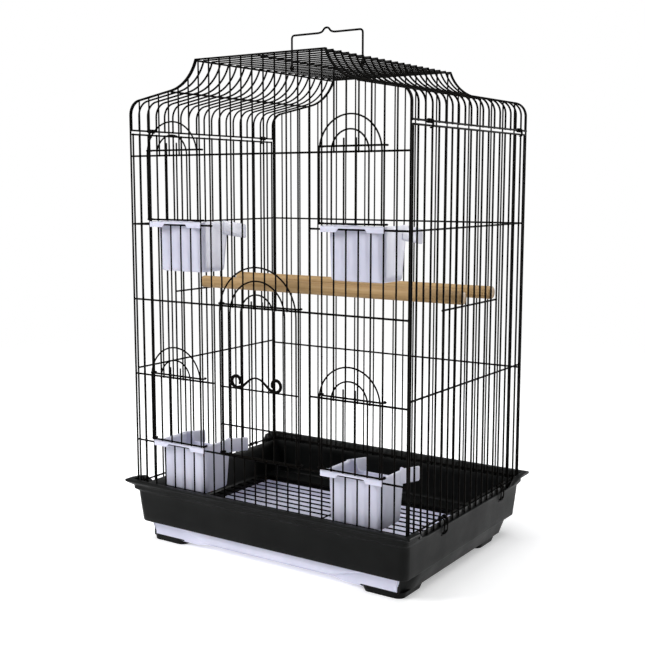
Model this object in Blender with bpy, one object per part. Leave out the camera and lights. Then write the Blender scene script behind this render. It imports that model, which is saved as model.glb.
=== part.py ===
"""Table-top bird cage: wire panels on a moulded base with a slide-out tray.

Frame: metres, +Z up, the front faces -Y, the origin is on the table under the
middle of the cage. Wires are four-sided bars, welded by union at each crossing.
"""
import math

import bmesh
import bpy
from mathutils import Vector

# ---- driving dimensions ------------------------------------------------------
PITCH_X = 0.0178            # spacing of the upright wires across the front
PITCH_Y = 0.01752           # spacing of the upright wires along the sides
FRONT_GAPS = 25
SIDE_GAPS = 19
HALF_W = FRONT_GAPS * PITCH_X / 2
HALF_D = SIDE_GAPS * PITCH_Y / 2
WIRE = 0.0011               # wire radius
WELD = 0.0017               # centre distance of two wires welded where they cross
STUB = 0.0015               # how far a cut wire runs past the wire that holds it
GAP = 0.0003

RIM_Z = 0.0905              # top of the base's flared rim
WIRE_FOOT = RIM_Z - 0.0137  # where the upright wires stand
BOTTOM_RAIL = RIM_Z - 0.0040
LOWER_SILL = RIM_Z + 0.0587
LOWER_HEAD = RIM_Z + 0.1553
MID_RAIL = RIM_Z + 0.2626
UPPER_SILL = RIM_Z + 0.3685
UPPER_HEAD = RIM_Z + 0.4624
SIDE_RAIL = RIM_Z + 0.1633
BACK_RAIL = RIM_Z + 0.1593
PERCH_RAIL = RIM_Z + 0.2661
SIDE_TOP = RIM_Z + 0.4926
ROOF_FOOT = RIM_Z + 0.4982
ROOF_TOP = RIM_Z + 0.5865

SHOULDER_R = 0.020          # roof outline: shoulder, shallow slope, hollow, flat top
SHOULDER_Z = RIM_Z + 0.5184
SLOPE = math.radians(10)
HOLLOW_X = 0.1469
HOLLOW_R = 0.057
FIRST_ROOF_WIRE = 0.0026    # the end roof wires lie just behind the panels' edges
FIRST_SIDE_WIRE = 0.0050

CUP_WIRES = 2, 7            # upright wires beside the left feeder openings
DOOR_WIRES = 9, 16          # upright wires beside the main door opening
DOOR_RAIL_Y = -HALF_D - 0.0041   # cross wires of every door, with their hooks
DOOR_BAR_Y = -HALF_D - 0.0054    # upright bars and arches of every door
HOOK_R = 0.0041
HOOK_STEPS = 6

TRAY_TOP = RIM_Z - 0.0620
FLOOR_Z = RIM_Z - 0.0820
GRATE_Z = RIM_Z - 0.0576
CLIP_SPACES = 5.5, 15.5     # side wire spaces that hold the base clips
LATCH_SPACES = 2.5, 17.5    # roof wire spaces that hold the roof latches
HANDLE_WIRE = 9             # roof wire that carries the handle
HANDLE_HALF = 0.0588
HANDLE_RISE = 0.0450

BLACK_WIRE = (0.012, 0.012, 0.013, 1), 0.32, 0.7
BLACK_PLASTIC = (0.020, 0.022, 0.021, 1), 0.42, 0.0
PALE_PLASTIC = (0.70, 0.70, 0.82, 1), 0.38, 0.0
BEECH = (0.56, 0.40, 0.24, 1), 0.60, 0.0

# ---- scene -------------------------------------------------------------------
for old in list(bpy.data.objects):
    bpy.data.objects.remove(old, do_unlink=True)

PARTS = bpy.data.collections.new("bird_cage")
bpy.context.scene.collection.children.link(PARTS)


def finish(obj, name, look):
    """Name a finished solid, give it its own material and shade it."""
    colour, roughness, metallic = look
    obj.name = name
    obj.data.name = name
    material = bpy.data.materials.new(name)
    material.use_nodes = True
    shader = material.node_tree.nodes["Principled BSDF"]
    shader.inputs["Base Color"].default_value = colour
    shader.inputs["Roughness"].default_value = roughness
    shader.inputs["Metallic"].default_value = metallic
    obj.data.materials.clear()
    obj.data.materials.append(material)
    obj.data.shade_smooth()
    obj.data.set_sharp_from_angle(angle=math.radians(35))
    return obj


def add_mesh(bm):
    """Turn a bmesh into an object of the cage."""
    bm.normal_update()
    bmesh.ops.recalc_face_normals(bm, faces=bm.faces)
    mesh = bpy.data.meshes.new("shape")
    bm.to_mesh(mesh)
    bm.free()
    obj = bpy.data.objects.new("shape", mesh)
    PARTS.objects.link(obj)
    return obj


def freeze(obj):
    """Replace an object by the mesh it evaluates to, in world space."""
    evaluated = obj.evaluated_get(bpy.context.evaluated_depsgraph_get())
    mesh = bpy.data.meshes.new_from_object(evaluated)
    mesh.transform(obj.matrix_world)
    bm = bmesh.new()
    bm.from_mesh(mesh)
    bmesh.ops.remove_doubles(bm, verts=bm.verts, dist=1e-6)
    bm.to_mesh(mesh)
    bm.free()
    bpy.data.objects.remove(obj, do_unlink=True)
    solid = bpy.data.objects.new("shape", mesh)
    PARTS.objects.link(solid)
    return solid


def wires(paths, radius=WIRE, sides=4):
    """Bend one wire along each path; a closed path is marked by a repeated end."""
    curve = bpy.data.curves.new("wires", "CURVE")
    curve.dimensions = "3D"
    curve.bevel_depth = radius
    curve.bevel_resolution = (sides - 4) // 2
    curve.use_fill_caps = True
    for path in paths:
        spline = curve.splines.new("POLY")
        closed = path[0] == path[-1]
        points = path[:-1] if closed else path
        spline.points.add(len(points) - 1)
        for place, point in zip(spline.points, points):
            place.co = (*point, 1)
        spline.use_cyclic_u = closed
    obj = bpy.data.objects.new("wires", curve)
    PARTS.objects.link(obj)
    bpy.context.view_layer.update()
    return freeze(obj)


def combine(base, others, operation="UNION"):
    """Join the other solids to the base, or cut them from it."""
    for other in others:
        modifier = base.modifiers.new(operation.lower(), "BOOLEAN")
        modifier.operation = operation
        modifier.solver = "EXACT"
        modifier.object = other
    bpy.context.view_layer.update()
    solid = freeze(base)
    for other in others:
        bpy.data.objects.remove(other, do_unlink=True)
    return solid


def box(low, high):
    """A block between two corners."""
    bm = bmesh.new()
    bmesh.ops.create_cube(bm, size=1)
    low, high = Vector(low), Vector(high)
    for vert in bm.verts:
        vert.co = (low + high) / 2 + Vector(a * b for a, b in zip(vert.co, high - low))
    return add_mesh(bm)


def rounded_section(x0, x1, y0, y1, z, radius, steps=3):
    """Points of a rounded rectangle at height z, counter-clockwise."""
    corners = ((x1, y1, 0), (x0, y1, 90), (x0, y0, 180), (x1, y0, 270))
    points = []
    for x, y, start in corners:
        centre_x = x - math.copysign(radius, x - (x0 + x1) / 2)
        centre_y = y - math.copysign(radius, y - (y0 + y1) / 2)
        for step in range(steps + 1):
            angle = math.radians(start + 90 * step / steps)
            points.append((centre_x + radius * math.cos(angle),
                           centre_y + radius * math.sin(angle), z))
    return points


def loft(sections):
    """A closed solid through sections that have the same number of points."""
    bm = bmesh.new()
    loops = [[bm.verts.new(point) for point in section] for section in sections]
    bm.faces.new(loops[0])
    bm.faces.new(loops[-1])
    for lower, upper in zip(loops, loops[1:]):
        for index in range(len(lower)):
            following = (index + 1) % len(lower)
            bm.faces.new((lower[index], lower[following], upper[following], upper[index]))
    return add_mesh(bm)


def tube(centre, inner, outer, half_length, sides=8):
    """A sleeve along Y round a centre."""
    parts = []
    for radius, half in ((outer, half_length), (inner, half_length * 2)):
        bm = bmesh.new()
        bmesh.ops.create_cone(bm, cap_ends=True, segments=sides,
                              radius1=radius, radius2=radius, depth=2 * half)
        for vert in bm.verts:
            vert.co = Vector((vert.co.x, vert.co.z, vert.co.y)) + Vector(centre)
        parts.append(add_mesh(bm))
    return combine(parts[0], parts[1:], "DIFFERENCE")


def pivot_at(obj, point):
    """Move the object's origin to a point without moving its shape."""
    obj.data.transform(obj.matrix_world)
    obj.matrix_world.identity()
    for vert in obj.data.vertices:
        vert.co -= Vector(point)
    obj.location = point
    return obj


# ---- roof outline --------------------------------------------------------------
def half_outline(shoulder_steps=3, hollow_steps=2):
    """(x, z) of the roof from its foot at +X to the edge of the flat top."""
    points = [(HALF_W, ROOF_FOOT - STUB)]
    centre_x = HALF_W - SHOULDER_R
    turn = math.pi / 2 - SLOPE
    for step in range(shoulder_steps + 1):
        angle = turn * step / shoulder_steps
        points.append((centre_x + SHOULDER_R * math.cos(angle),
                       SHOULDER_Z + SHOULDER_R * math.sin(angle)))
    slope_x, slope_z = points[-1]
    hollow_z = slope_z + (slope_x - HOLLOW_X) * math.tan(SLOPE)
    steepest = math.acos(math.cos(SLOPE) - (ROOF_TOP - hollow_z) / HOLLOW_R)
    for step in range(hollow_steps + 1):
        angle = SLOPE + (steepest - SLOPE) * step / hollow_steps
        points.append((HOLLOW_X - HOLLOW_R * (math.sin(angle) - math.sin(SLOPE)),
                       hollow_z + HOLLOW_R * (math.cos(SLOPE) - math.cos(angle))))
    return points


HALF_ROOF = half_outline()
ROOF_LINE = HALF_ROOF + [(-x, z) for x, z in reversed(HALF_ROOF)]


def roof_height(x):
    """Height of the roof outline above a place across the cage."""
    x = min(abs(x), HALF_W)
    for (outer_x, outer_z), (inner_x, inner_z) in zip(HALF_ROOF[1:], HALF_ROOF[2:]):
        if inner_x <= x <= outer_x:
            share = (outer_x - x) / (outer_x - inner_x)
            return outer_z + share * (inner_z - outer_z)
    return ROOF_TOP


def front_x(index):
    """Place of an upright wire across the front."""
    return -HALF_W + index * PITCH_X


def side_y(index):
    """Place of an upright wire along a side, or of a roof wire."""
    return -HALF_D + index * PITCH_Y


# ---- wire panels ---------------------------------------------------------------
def end_panel(y, inward, uprights, rails):
    """A front or back panel: framed by one bent wire, welded to its rails."""
    edge = [(HALF_W, y, WIRE_FOOT)] + [(x, y, z) for x, z in ROOF_LINE[1:-1]]
    edge.append((-HALF_W, y, WIRE_FOOT))
    upright_paths = [[(x, y, low), (x, y, high)] for x, low, high in uprights]
    rail_y = y + inward * WELD
    rail_paths = [[(left, rail_y, z), (right, rail_y, z)] for left, right, z in rails]
    return combine(wires(upright_paths), [wires([edge]), wires(rail_paths)])


def front_uprights():
    """Upright wires of the front, cut away inside the five door openings."""
    left_cup = range(CUP_WIRES[0] + 1, CUP_WIRES[1])
    right_cup = [FRONT_GAPS - index for index in left_cup]
    doorway = range(DOOR_WIRES[0] + 1, DOOR_WIRES[1])
    spans = []
    for index in range(1, FRONT_GAPS):
        x = front_x(index)
        top = roof_height(x) - WIRE / 2
        if index in left_cup or index in right_cup:
            spans.append((x, WIRE_FOOT, LOWER_SILL + STUB))
            spans.append((x, LOWER_HEAD - STUB, UPPER_SILL + STUB))
            spans.append((x, UPPER_HEAD - STUB, top))
        elif index in doorway:
            spans.append((x, WIRE_FOOT, LOWER_SILL + STUB))
            spans.append((x, MID_RAIL - STUB, top))
        else:
            spans.append((x, WIRE_FOOT, top))
    return spans


def front_rails():
    """Rails of the front: the short ones stop beside the main door."""
    inner = abs(front_x(DOOR_WIRES[0] - 1)) - WIRE
    rails = [(-HALF_W, HALF_W, z) for z in (BOTTOM_RAIL, LOWER_SILL, MID_RAIL, UPPER_HEAD)]
    for z in (LOWER_HEAD, UPPER_SILL):
        rails.append((-HALF_W, -inner, z))
        rails.append((inner, HALF_W, z))
    return rails


def side_panel(side):
    """A left (-1) or right (+1) panel with the two rests for the perches."""
    x = side * HALF_W
    first = side_y(0) + FIRST_SIDE_WIRE
    last = side_y(SIDE_GAPS) - FIRST_SIDE_WIRE
    places = [first] + [side_y(index) for index in range(1, SIDE_GAPS)] + [last]
    uprights = [[(x, y, WIRE_FOOT), (x, y, SIDE_TOP + STUB)] for y in places]
    inside = x - side * WELD
    outside = x + side * WELD
    start, end = first - WIRE, last + WIRE
    rails = [[(inside, start, z), (inside, end, z)] for z in (BOTTOM_RAIL, SIDE_RAIL, UPPER_SILL)]
    rails.append([(inside, side_y(5), PERCH_RAIL), (inside, side_y(14.3), PERCH_RAIL)])
    rails.append([(outside, start, SIDE_TOP), (outside, end, SIDE_TOP)])
    return combine(wires(uprights), [wires(rails)])


def roof_panel():
    """The roof: bent wires over the cage, held by wires from front to back."""
    first = side_y(0) + FIRST_ROOF_WIRE
    last = side_y(SIDE_GAPS) - FIRST_ROOF_WIRE
    places = [first] + [side_y(index) for index in range(1, SIDE_GAPS)] + [last]
    bows = [[(x, y, z) for x, z in ROOF_LINE] for y in places]
    edge_x = HALF_ROOF[-1][0] - 0.001
    low_x, low_z = HALF_ROOF[-3]
    start, end = first - WIRE + 0.0002, last + WIRE - 0.0002
    rails = []
    for side in (-1, 1):
        rails.append((side * (HALF_W + WELD), ROOF_FOOT))
        rails.append((side * (low_x + 0.001), low_z - WELD))
        rails.append((side * edge_x, ROOF_TOP - WELD))
    rails.append((0, ROOF_TOP - WELD))
    return combine(wires(bows), [wires([[(x, start, z), (x, end, z)] for x, z in rails])])


finish(end_panel(-HALF_D, 1, front_uprights(), front_rails()), "front_panel", BLACK_WIRE)
back_wires = [(front_x(index), WIRE_FOOT, roof_height(front_x(index)) - WIRE / 2)
              for index in range(1, FRONT_GAPS)]
back_rails = [(-HALF_W, HALF_W, z) for z in (BOTTOM_RAIL, BACK_RAIL, UPPER_SILL)]
finish(end_panel(HALF_D, -1, back_wires, back_rails), "back_panel", BLACK_WIRE)
finish(side_panel(-1), "left_panel", BLACK_WIRE)
finish(side_panel(1), "right_panel", BLACK_WIRE)
finish(roof_panel(), "roof_panel", BLACK_WIRE)


# ---- doors -----------------------------------------------------------------------
def hooked_rail(left, right, z):
    """A door's cross wire, whose ends hook round two upright wires of the front."""
    path = []
    for x, side in ((left, -1), (right, 1)):
        turns = [math.radians(95 - 185 * step / HOOK_STEPS) for step in range(HOOK_STEPS + 1)]
        hook = [(x + side * HOOK_R * math.cos(turn), -HALF_D + HOOK_R * math.sin(turn), z)
                for turn in turns]
        path += hook if side < 0 else reversed(hook)
    return path


def arch(centre_x, half_width, foot, spring, steps):
    """A door wire with two legs and a round top."""
    path = [(centre_x - half_width, DOOR_BAR_Y, foot)]
    for step in range(steps + 1):
        turn = math.pi * (1 - step / steps)
        path.append((centre_x + half_width * math.cos(turn), DOOR_BAR_Y,
                     spring + half_width * math.sin(turn)))
    path.append((centre_x + half_width, DOOR_BAR_Y, foot))
    return path


def sliding_door(name, wire_span, sill, spring, levels, bar_top):
    """A door that slides up the front on four hooks."""
    left, right = (front_x(index) for index in wire_span)
    centre_x = (left + right) / 2
    half_width = (right - left) / 2
    foot = sill - STUB
    frames = []
    for inset, steps in ((0, 8), (1, 6), (2, 6)):
        reach = half_width - inset * PITCH_X
        if reach > PITCH_X:
            frames.append(arch(centre_x, reach, foot, spring, steps))
    for side in (-1, 1):
        x = centre_x + side * PITCH_X / 2
        frames.append([(x, DOOR_BAR_Y, foot), (x, DOOR_BAR_Y, spring + bar_top)])
    rails = [hooked_rail(left, right, sill), hooked_rail(left, right, levels[0])]
    plain = [[(left - WIRE, DOOR_RAIL_Y, z), (right + WIRE, DOOR_RAIL_Y, z)] for z in levels[1:]]
    door = combine(wires(frames), [wires(rails + plain)])
    finish(door, name, BLACK_WIRE)
    pivot_at(door, (centre_x, DOOR_BAR_Y, sill))


SCROLL_RAIL = RIM_Z + 0.1544
sliding_door("main_door", DOOR_WIRES, LOWER_SILL + 0.0040, RIM_Z + 0.2545,
             (MID_RAIL + 0.0036, SCROLL_RAIL, RIM_Z + 0.1028), 0.0180)
RIGHT_CUP_WIRES = FRONT_GAPS - CUP_WIRES[1], FRONT_GAPS - CUP_WIRES[0]
FEEDER_BOTTOM = 0.0071      # a closed feeder door's bottom rail stands above the cup's lip
FEEDER_BARS = 0.0165
for side, wire_span in (("left", CUP_WIRES), ("right", RIGHT_CUP_WIRES)):
    sliding_door("feeder_door_lower_" + side, wire_span, LOWER_SILL + FEEDER_BOTTOM, LOWER_HEAD,
                 (LOWER_HEAD + 0.0050,), FEEDER_BARS)
    sliding_door("feeder_door_upper_" + side, wire_span, UPPER_SILL + FEEDER_BOTTOM, UPPER_HEAD,
                 (UPPER_HEAD + 0.0068,), FEEDER_BARS)


SCROLL_WIRE = 0.0015
CURL_X, CURL_Z = 0.0322, 0.0110    # centre of a curl, from the middle of the scroll's rail
CURL_OUTER, CURL_TIGHTENING = 0.0088, 0.0026


def scroll_half(side, steps=9):
    """Half of the door's scroll: from the middle peak into an outward curl."""
    path = [(0, 0.0178), (side * 0.010, 0.0150), (side * 0.022, 0.0050)]
    for step in range(steps + 1):
        turn = math.radians(-120 + 330 * step / steps)
        radius = CURL_OUTER - CURL_TIGHTENING * step / steps
        path.append((side * (CURL_X + radius * math.cos(turn)), CURL_Z + radius * math.sin(turn)))
    return path


scroll_y = DOOR_BAR_Y - WIRE - SCROLL_WIRE - GAP - 0.0001
scroll_line = list(reversed(scroll_half(-1))) + scroll_half(1)[1:]
scroll = wires([[(x, scroll_y, SCROLL_RAIL + z) for x, z in scroll_line]], SCROLL_WIRE, 6)
finish(scroll, "door_scroll", BLACK_WIRE)


# ---- feeding cups ------------------------------------------------------------------
CUP_RIM = 0.0045            # the cup's rim above its sill
LIP_FRONT = -0.0024         # the lip passes inside the hooks of the feeder door
LIP_HALF = 0.0457


def feed_cup(name, centre_x, sill):
    """A cup inside the panel, hung on a sill by the lip that folds over it."""
    front = -HALF_D

    def block(x, y0, y1, z0, z1):
        return box((centre_x - x, front + y0, sill + z0), (centre_x + x, front + y1, sill + z1))

    def section(x, y0, y1, z, radius):
        return rounded_section(centre_x - x, centre_x + x, front + y0, front + y1, sill + z, radius)

    shell = loft([section(0.0375, 0.0110, 0.0575, -0.0645, 0.006),
                  section(0.0400, 0.0090, 0.0600, -0.0620, 0.008),
                  section(0.0412, 0.0075, 0.0670, CUP_RIM, 0.008)])
    hollow = loft([section(0.0380, 0.0108, 0.0582, -0.0625, 0.006),
                   section(0.0396, 0.0091, 0.0654, 0.0060, 0.007)])
    bridge = block(0.0426, LIP_FRONT, 0.0085, 0.0030, CUP_RIM)
    lip = block(LIP_HALF, LIP_FRONT, -0.0014, -0.0036, CUP_RIM)
    strip = (0.0520, -0.0135), (0.1030, -0.0215), (0.1030, -0.0040), (0.0520, 0.0030)
    ears = [loft([[(centre_x + x, front + depth, sill + z) for depth, z in strip] for x in ends])
            for ends in ((-0.0414, -0.0398), (0.0398, 0.0414))]
    cup = combine(shell, [hollow, block(0.031, 0.0600, 0.0750, -0.0090, 0.0100)], "DIFFERENCE")
    cup = combine(cup, [bridge, lip] + ears)
    notch = (-0.0185, 0.0012), (0.0185, 0.0012), (0.0240, -0.0050), (-0.0240, -0.0050)
    cutter = loft([[(centre_x + x, front + depth, sill + z) for x, z in notch]
                   for depth in (-0.0040, -0.0005)])
    cup = combine(cup, [cutter], "DIFFERENCE")
    finish(cup, name, PALE_PLASTIC)
    pivot_at(cup, (centre_x, front, sill))


CUP_X = abs(front_x(sum(CUP_WIRES) / 2))
for side_name, cup_x in (("left", -CUP_X), ("right", CUP_X)):
    feed_cup("feed_cup_lower_" + side_name, cup_x, LOWER_SILL)
    feed_cup("feed_cup_upper_" + side_name, cup_x, UPPER_SILL)


# ---- perches -----------------------------------------------------------------------
def perch(name, y):
    """A round dowel from side to side, on the two perch rests."""
    radius = 0.0089
    half = HALF_W - 0.0016
    z = PERCH_RAIL + WIRE + GAP + radius
    bm = bmesh.new()
    bmesh.ops.create_cone(bm, cap_ends=True, segments=20,
                          radius1=radius, radius2=radius, depth=2 * half)
    for vert in bm.verts:
        vert.co = Vector((vert.co.z, vert.co.x, vert.co.y)) + Vector((0, y, z))
    finish(add_mesh(bm), name, BEECH)


perch("perch_front", -HALF_D + 0.1491)
perch("perch_rear", -HALF_D + 0.2363)


# ---- base ----------------------------------------------------------------------------
def base_section(grow_x, grow_y, drop, radius):
    """A rounded rectangle round the wire panels at a depth under the rim."""
    return rounded_section(-HALF_W - grow_x, HALF_W + grow_x, -HALF_D - grow_y, HALF_D + grow_y,
                           RIM_Z - drop, radius)


HOUSING_HALF = 0.2165       # half the width of the tray housing, where it meets the tub
HOUSING_TAPER = 0.0060      # how much less that is at its floor
HOUSING_FRONT = -HALF_D + 0.0124
HOUSING_BACK = -HALF_D + 0.2937    # behind the tray
HOUSING_REAR = -HALF_D + 0.2975    # the outside of its rear wall
TUB_DEPTH = 0.0614          # the tub's lower edge under the rim
BAY_HALF = 0.2032           # half the width of the space that the tray slides in
FOOT_INNER, FOOT_OUTER = 0.1470, 0.2090
FOOT_SPANS = (0.0125, 0.0720), (0.2320, 0.2891)    # front and rear feet, from the front panel


def base_tub():
    """The moulded base: flanged rim, wire ledge with a lip, tray housing, feet."""
    tub = loft([base_section(-0.0016, 0.0000, TUB_DEPTH, 0.012),
                base_section(0.0020, 0.0030, 0.0165, 0.010),
                base_section(0.0045, 0.0084, 0.0123, 0.007),
                base_section(0.0047, 0.0086, 0.0076, 0.007),
                base_section(0.0125, 0.0165, 0.0016, 0.003),
                base_section(0.0125, 0.0165, -0.0013, 0.003)])
    gutter = loft([base_section(0.0018, 0.0018, 0.0140, 0.002),
                   base_section(0.0032, 0.0062, -0.0020, 0.005)])
    side_cuts = []
    for side in (-1, 1):
        outer, inner = side * (HALF_W + 0.03), side * (HALF_W + 0.0016)
        long, short = HALF_D - 0.020, HALF_D - 0.042
        cut = [(inner, -short), (outer, -long), (outer, long), (inner, short)]
        side_cuts.append(loft([[(x, y, RIM_Z + z) for x, y in cut] for z in (-0.0138, 0.0100)]))
    housing = loft([rounded_section(-HOUSING_HALF + inset, HOUSING_HALF - inset, HOUSING_FRONT,
                                    HOUSING_REAR, z, radius)
                    for inset, z, radius in ((HOUSING_TAPER, FLOOR_Z - 0.0020, 0.0055),
                                             (0, RIM_Z - 0.0600, 0.0110))])
    tub = combine(tub, [gutter] + side_cuts, "DIFFERENCE")
    lip = loft([base_section(-0.0016, -0.0016, 0.0200, 0.009),
                base_section(-0.0016, -0.0016, 0.0085, 0.009)])
    feet = []
    for side in (-1, 1):
        for y0, y1 in FOOT_SPANS:
            x0, x1 = sorted((side * FOOT_INNER, side * FOOT_OUTER))
            feet.append(loft([rounded_section(x0 + taper, x1 - taper, -HALF_D + y0 + taper,
                                              -HALF_D + y1 - taper, z, 0.008, 2)
                              for taper, z in ((0.003, 0), (0, FLOOR_Z - 0.0008))]))
    tub = combine(tub, [lip, housing] + feet)
    well = loft([base_section(-0.0098, -0.0082, 0.0592, 0.011),
                 base_section(-0.0038, -0.0038, 0.0010, 0.007)])
    tray_bay = box((-BAY_HALF, HOUSING_FRONT - 0.030, FLOOR_Z),
                   (BAY_HALF, HOUSING_BACK - 0.0030, RIM_Z - 0.0580))
    front_notch = box((-0.2090, -HALF_D - 0.010, RIM_Z - 0.0900),
                      (0.2090, HOUSING_FRONT, RIM_Z - TUB_DEPTH))
    slots = []
    for side in (-1, 1):
        for space in CLIP_SPACES:
            x = sorted((side * (HALF_W - 0.0010), side * (HALF_W + 0.006)))
            slots.append(box((x[0], side_y(space) - 0.0080, RIM_Z - 0.0265),
                             (x[1], side_y(space) + 0.0080, RIM_Z - 0.0212)))
    tub = combine(tub, [well, tray_bay, front_notch] + slots, "DIFFERENCE")
    finish(tub, "base_tub", BLACK_PLASTIC)


base_tub()


def slide_tray():
    """The pull-out tray, whose front has a raised middle to grip under."""
    front, back = HOUSING_FRONT - 0.0035, HOUSING_BACK - 0.0045
    half, floor, wall = BAY_HALF - 0.0005, FLOOR_Z + GAP, 0.0018
    pan = box((-half, front + 0.001, floor), (half, back, RIM_Z - 0.0665))
    inside = box((-half + wall, front + 0.0030, floor + wall), (half - wall, back - wall, RIM_Z))
    pan = combine(pan, [inside], "DIFFERENCE")
    outline = [(-0.2062, TRAY_TOP), (0.2062, TRAY_TOP), (0.2035, RIM_Z - 0.0832)]
    rise = [(0.131, 0.0832), (0.119, 0.0820), (0.107, 0.0797)]
    outline += [(x, RIM_Z - drop) for x, drop in rise]
    outline += [(-x, RIM_Z - drop) for x, drop in reversed(rise)]
    outline.append((-0.2035, RIM_Z - 0.0832))
    plate = loft([[(x, y, z) for x, z in outline] for y in (front, front + 0.0030)])
    finish(combine(pan, [plate]), "slide_tray", PALE_PLASTIC)


slide_tray()


def floor_grate():
    """A wire floor over the tray, with a small loop to lift it by."""
    reach = BAY_HALF + 0.0040
    tie_x = BAY_HALF - 0.0050
    bars = [[(-reach, side_y(index) + 0.001, GRATE_Z), (reach, side_y(index) + 0.001, GRATE_Z)]
            for index in range(1, 17)]
    ends = side_y(1) - 0.0005, side_y(16) + 0.0025
    ties = [[(x, ends[0], GRATE_Z - WELD), (x, ends[1], GRATE_Z - WELD)]
            for x in (-tie_x, 0, tie_x)]
    grate = combine(wires(bars), [wires(ties)])
    finish(grate, "floor_grate", BLACK_WIRE)


floor_grate()


# ---- clips, latches and handle ------------------------------------------------------------
def base_clip(name, side, y):
    """A wire loop that turns on a side's bottom rail and snaps into the base."""
    x = side * (HALF_W - WELD)
    axis = x, y, BOTTOM_RAIL
    sleeve = tube(axis, WIRE + 0.0004, 0.0024, 0.0060)
    loop = []
    for reach, drop in ((0.0020, 0.0002), (0.0072, 0.0010), (0.0082, 0.0040), (0.0076, 0.0185),
                        (0.0032, 0.0198)):
        loop.append((x + side * reach, y - 0.0045, BOTTOM_RAIL - drop))
    loop += [(px, 2 * y - py, pz) for px, py, pz in reversed(loop)]
    clip = combine(sleeve, [wires([loop], 0.0009)])
    finish(clip, name, BLACK_WIRE)
    pivot_at(clip, axis)


def roof_latch(name, side, y):
    """A hook that turns on the roof's lower wire and holds the side panel's top wire."""
    x = side * (HALF_W + WELD)
    axis = x, y, ROOF_FOOT
    sleeve = tube(axis, WIRE + 0.0004, 0.0026, 0.0055)
    reaches = (0.0020, 0), (0.0038, 0.0006), (0.0042, 0.0066), (0.0030, 0.0082), (0.0004, 0.0082)
    hook = wires([[(x + side * reach, y, ROOF_FOOT - drop) for reach, drop in reaches]], 0.0010)
    latch = combine(sleeve, [hook])
    finish(latch, name, BLACK_WIRE)
    pivot_at(latch, axis)


for side_name, side in (("left", -1), ("right", 1)):
    for row, clip_space, latch_space in zip(("front", "rear"), CLIP_SPACES, LATCH_SPACES):
        base_clip(f"base_clip_{side_name}_{row}", side, side_y(clip_space))
        roof_latch(f"roof_latch_{side_name}_{row}", side, side_y(latch_space))


def carry_handle():
    """A bail with an eye at each end, round one wire of the flat top."""
    radius, eye = 0.0014, 0.0029
    y = side_y(HANDLE_WIRE)
    eyes = []
    for side in (-1, 1):
        ring = [(side * HANDLE_HALF, y + eye * math.sin(turn), ROOF_TOP + eye * math.cos(turn))
                for turn in (math.tau * step / 8 for step in range(8))]
        eyes.append(ring + ring[:1])
    bow = [(-HANDLE_HALF, y, ROOF_TOP + eye - 0.0004)]
    top = ROOF_TOP + HANDLE_RISE
    bow += [(-HANDLE_HALF, y, top - 0.006), (-HANDLE_HALF + 0.002, y, top - 0.0018),
            (-HANDLE_HALF + 0.006, y, top), (-0.012, y, top), (-0.006, y, top + 0.0024),
            (-0.003, y, top + 0.0070)]
    bow += [(-px, py, pz) for px, py, pz in reversed(bow)]
    handle = combine(wires([bow], radius, 6), [wires(eyes, radius, 6)])
    finish(handle, "carry_handle", BLACK_WIRE)
    pivot_at(handle, (0, y, ROOF_TOP))


carry_handle()
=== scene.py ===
# %% [markdown]
# # A table-top bird cage
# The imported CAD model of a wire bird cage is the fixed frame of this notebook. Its
# bodies already know how the tray, the doors, the cups, the handle, the clips and the
# latches move. Each piece gets its finished shape and surface here, at the place where
# the CAD has it, and then rides on its body.

import math

import bmesh
import bpy
import numpy as np
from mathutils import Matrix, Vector


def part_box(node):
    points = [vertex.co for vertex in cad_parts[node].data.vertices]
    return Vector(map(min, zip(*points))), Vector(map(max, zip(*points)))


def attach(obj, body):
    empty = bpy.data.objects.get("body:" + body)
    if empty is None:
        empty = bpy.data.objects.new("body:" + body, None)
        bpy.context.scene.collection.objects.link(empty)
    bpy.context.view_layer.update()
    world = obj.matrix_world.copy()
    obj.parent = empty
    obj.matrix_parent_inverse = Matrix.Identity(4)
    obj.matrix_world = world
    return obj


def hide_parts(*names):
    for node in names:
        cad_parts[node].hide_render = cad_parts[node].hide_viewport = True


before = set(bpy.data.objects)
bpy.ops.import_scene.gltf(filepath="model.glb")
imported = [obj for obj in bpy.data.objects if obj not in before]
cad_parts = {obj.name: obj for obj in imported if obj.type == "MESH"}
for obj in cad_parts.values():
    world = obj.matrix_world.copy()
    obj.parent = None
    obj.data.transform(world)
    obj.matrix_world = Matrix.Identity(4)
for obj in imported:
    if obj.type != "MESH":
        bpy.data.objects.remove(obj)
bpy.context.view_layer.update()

# %% [markdown]
# A cage is a grid, so a few spacings say where nearly every wire is. The widths,
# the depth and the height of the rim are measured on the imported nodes. The pitches
# and the heights of the rails are the maker's own numbers, above the rim.

# %% Measure the grid
WIRE = 0.0011               # radius of the cage wire
WELD = 0.0017               # distance of two welded wires
STOUT_WIRE = 0.0013         # radius of the wires of sides and roof and of the rails
STUB = 0.0015               # what a cut wire shows past its weld
RIM_PROUD = 0.0013          # the rounded top of the rim above its nominal height
PITCH_X, FRONT_GAPS = 0.0178, 25    # spacing and number of the spaces across the front
PITCH_Y, SIDE_GAPS = 0.01752, 19    # the same along a side
HALF_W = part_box("front_panel")[1].x - WIRE
HALF_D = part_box("back_panel")[1].y - WIRE
RIM_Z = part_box("base_tub")[1].z - RIM_PROUD
print("half width", round(HALF_W, 4), "half depth", round(HALF_D, 4), "rim", round(RIM_Z, 4))

# %% [markdown]
# Rails, sills and heads are all counted from the rim of the base. Measured from the
# floor instead, each of them would have to change when the base gets taller or lower.

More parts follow.
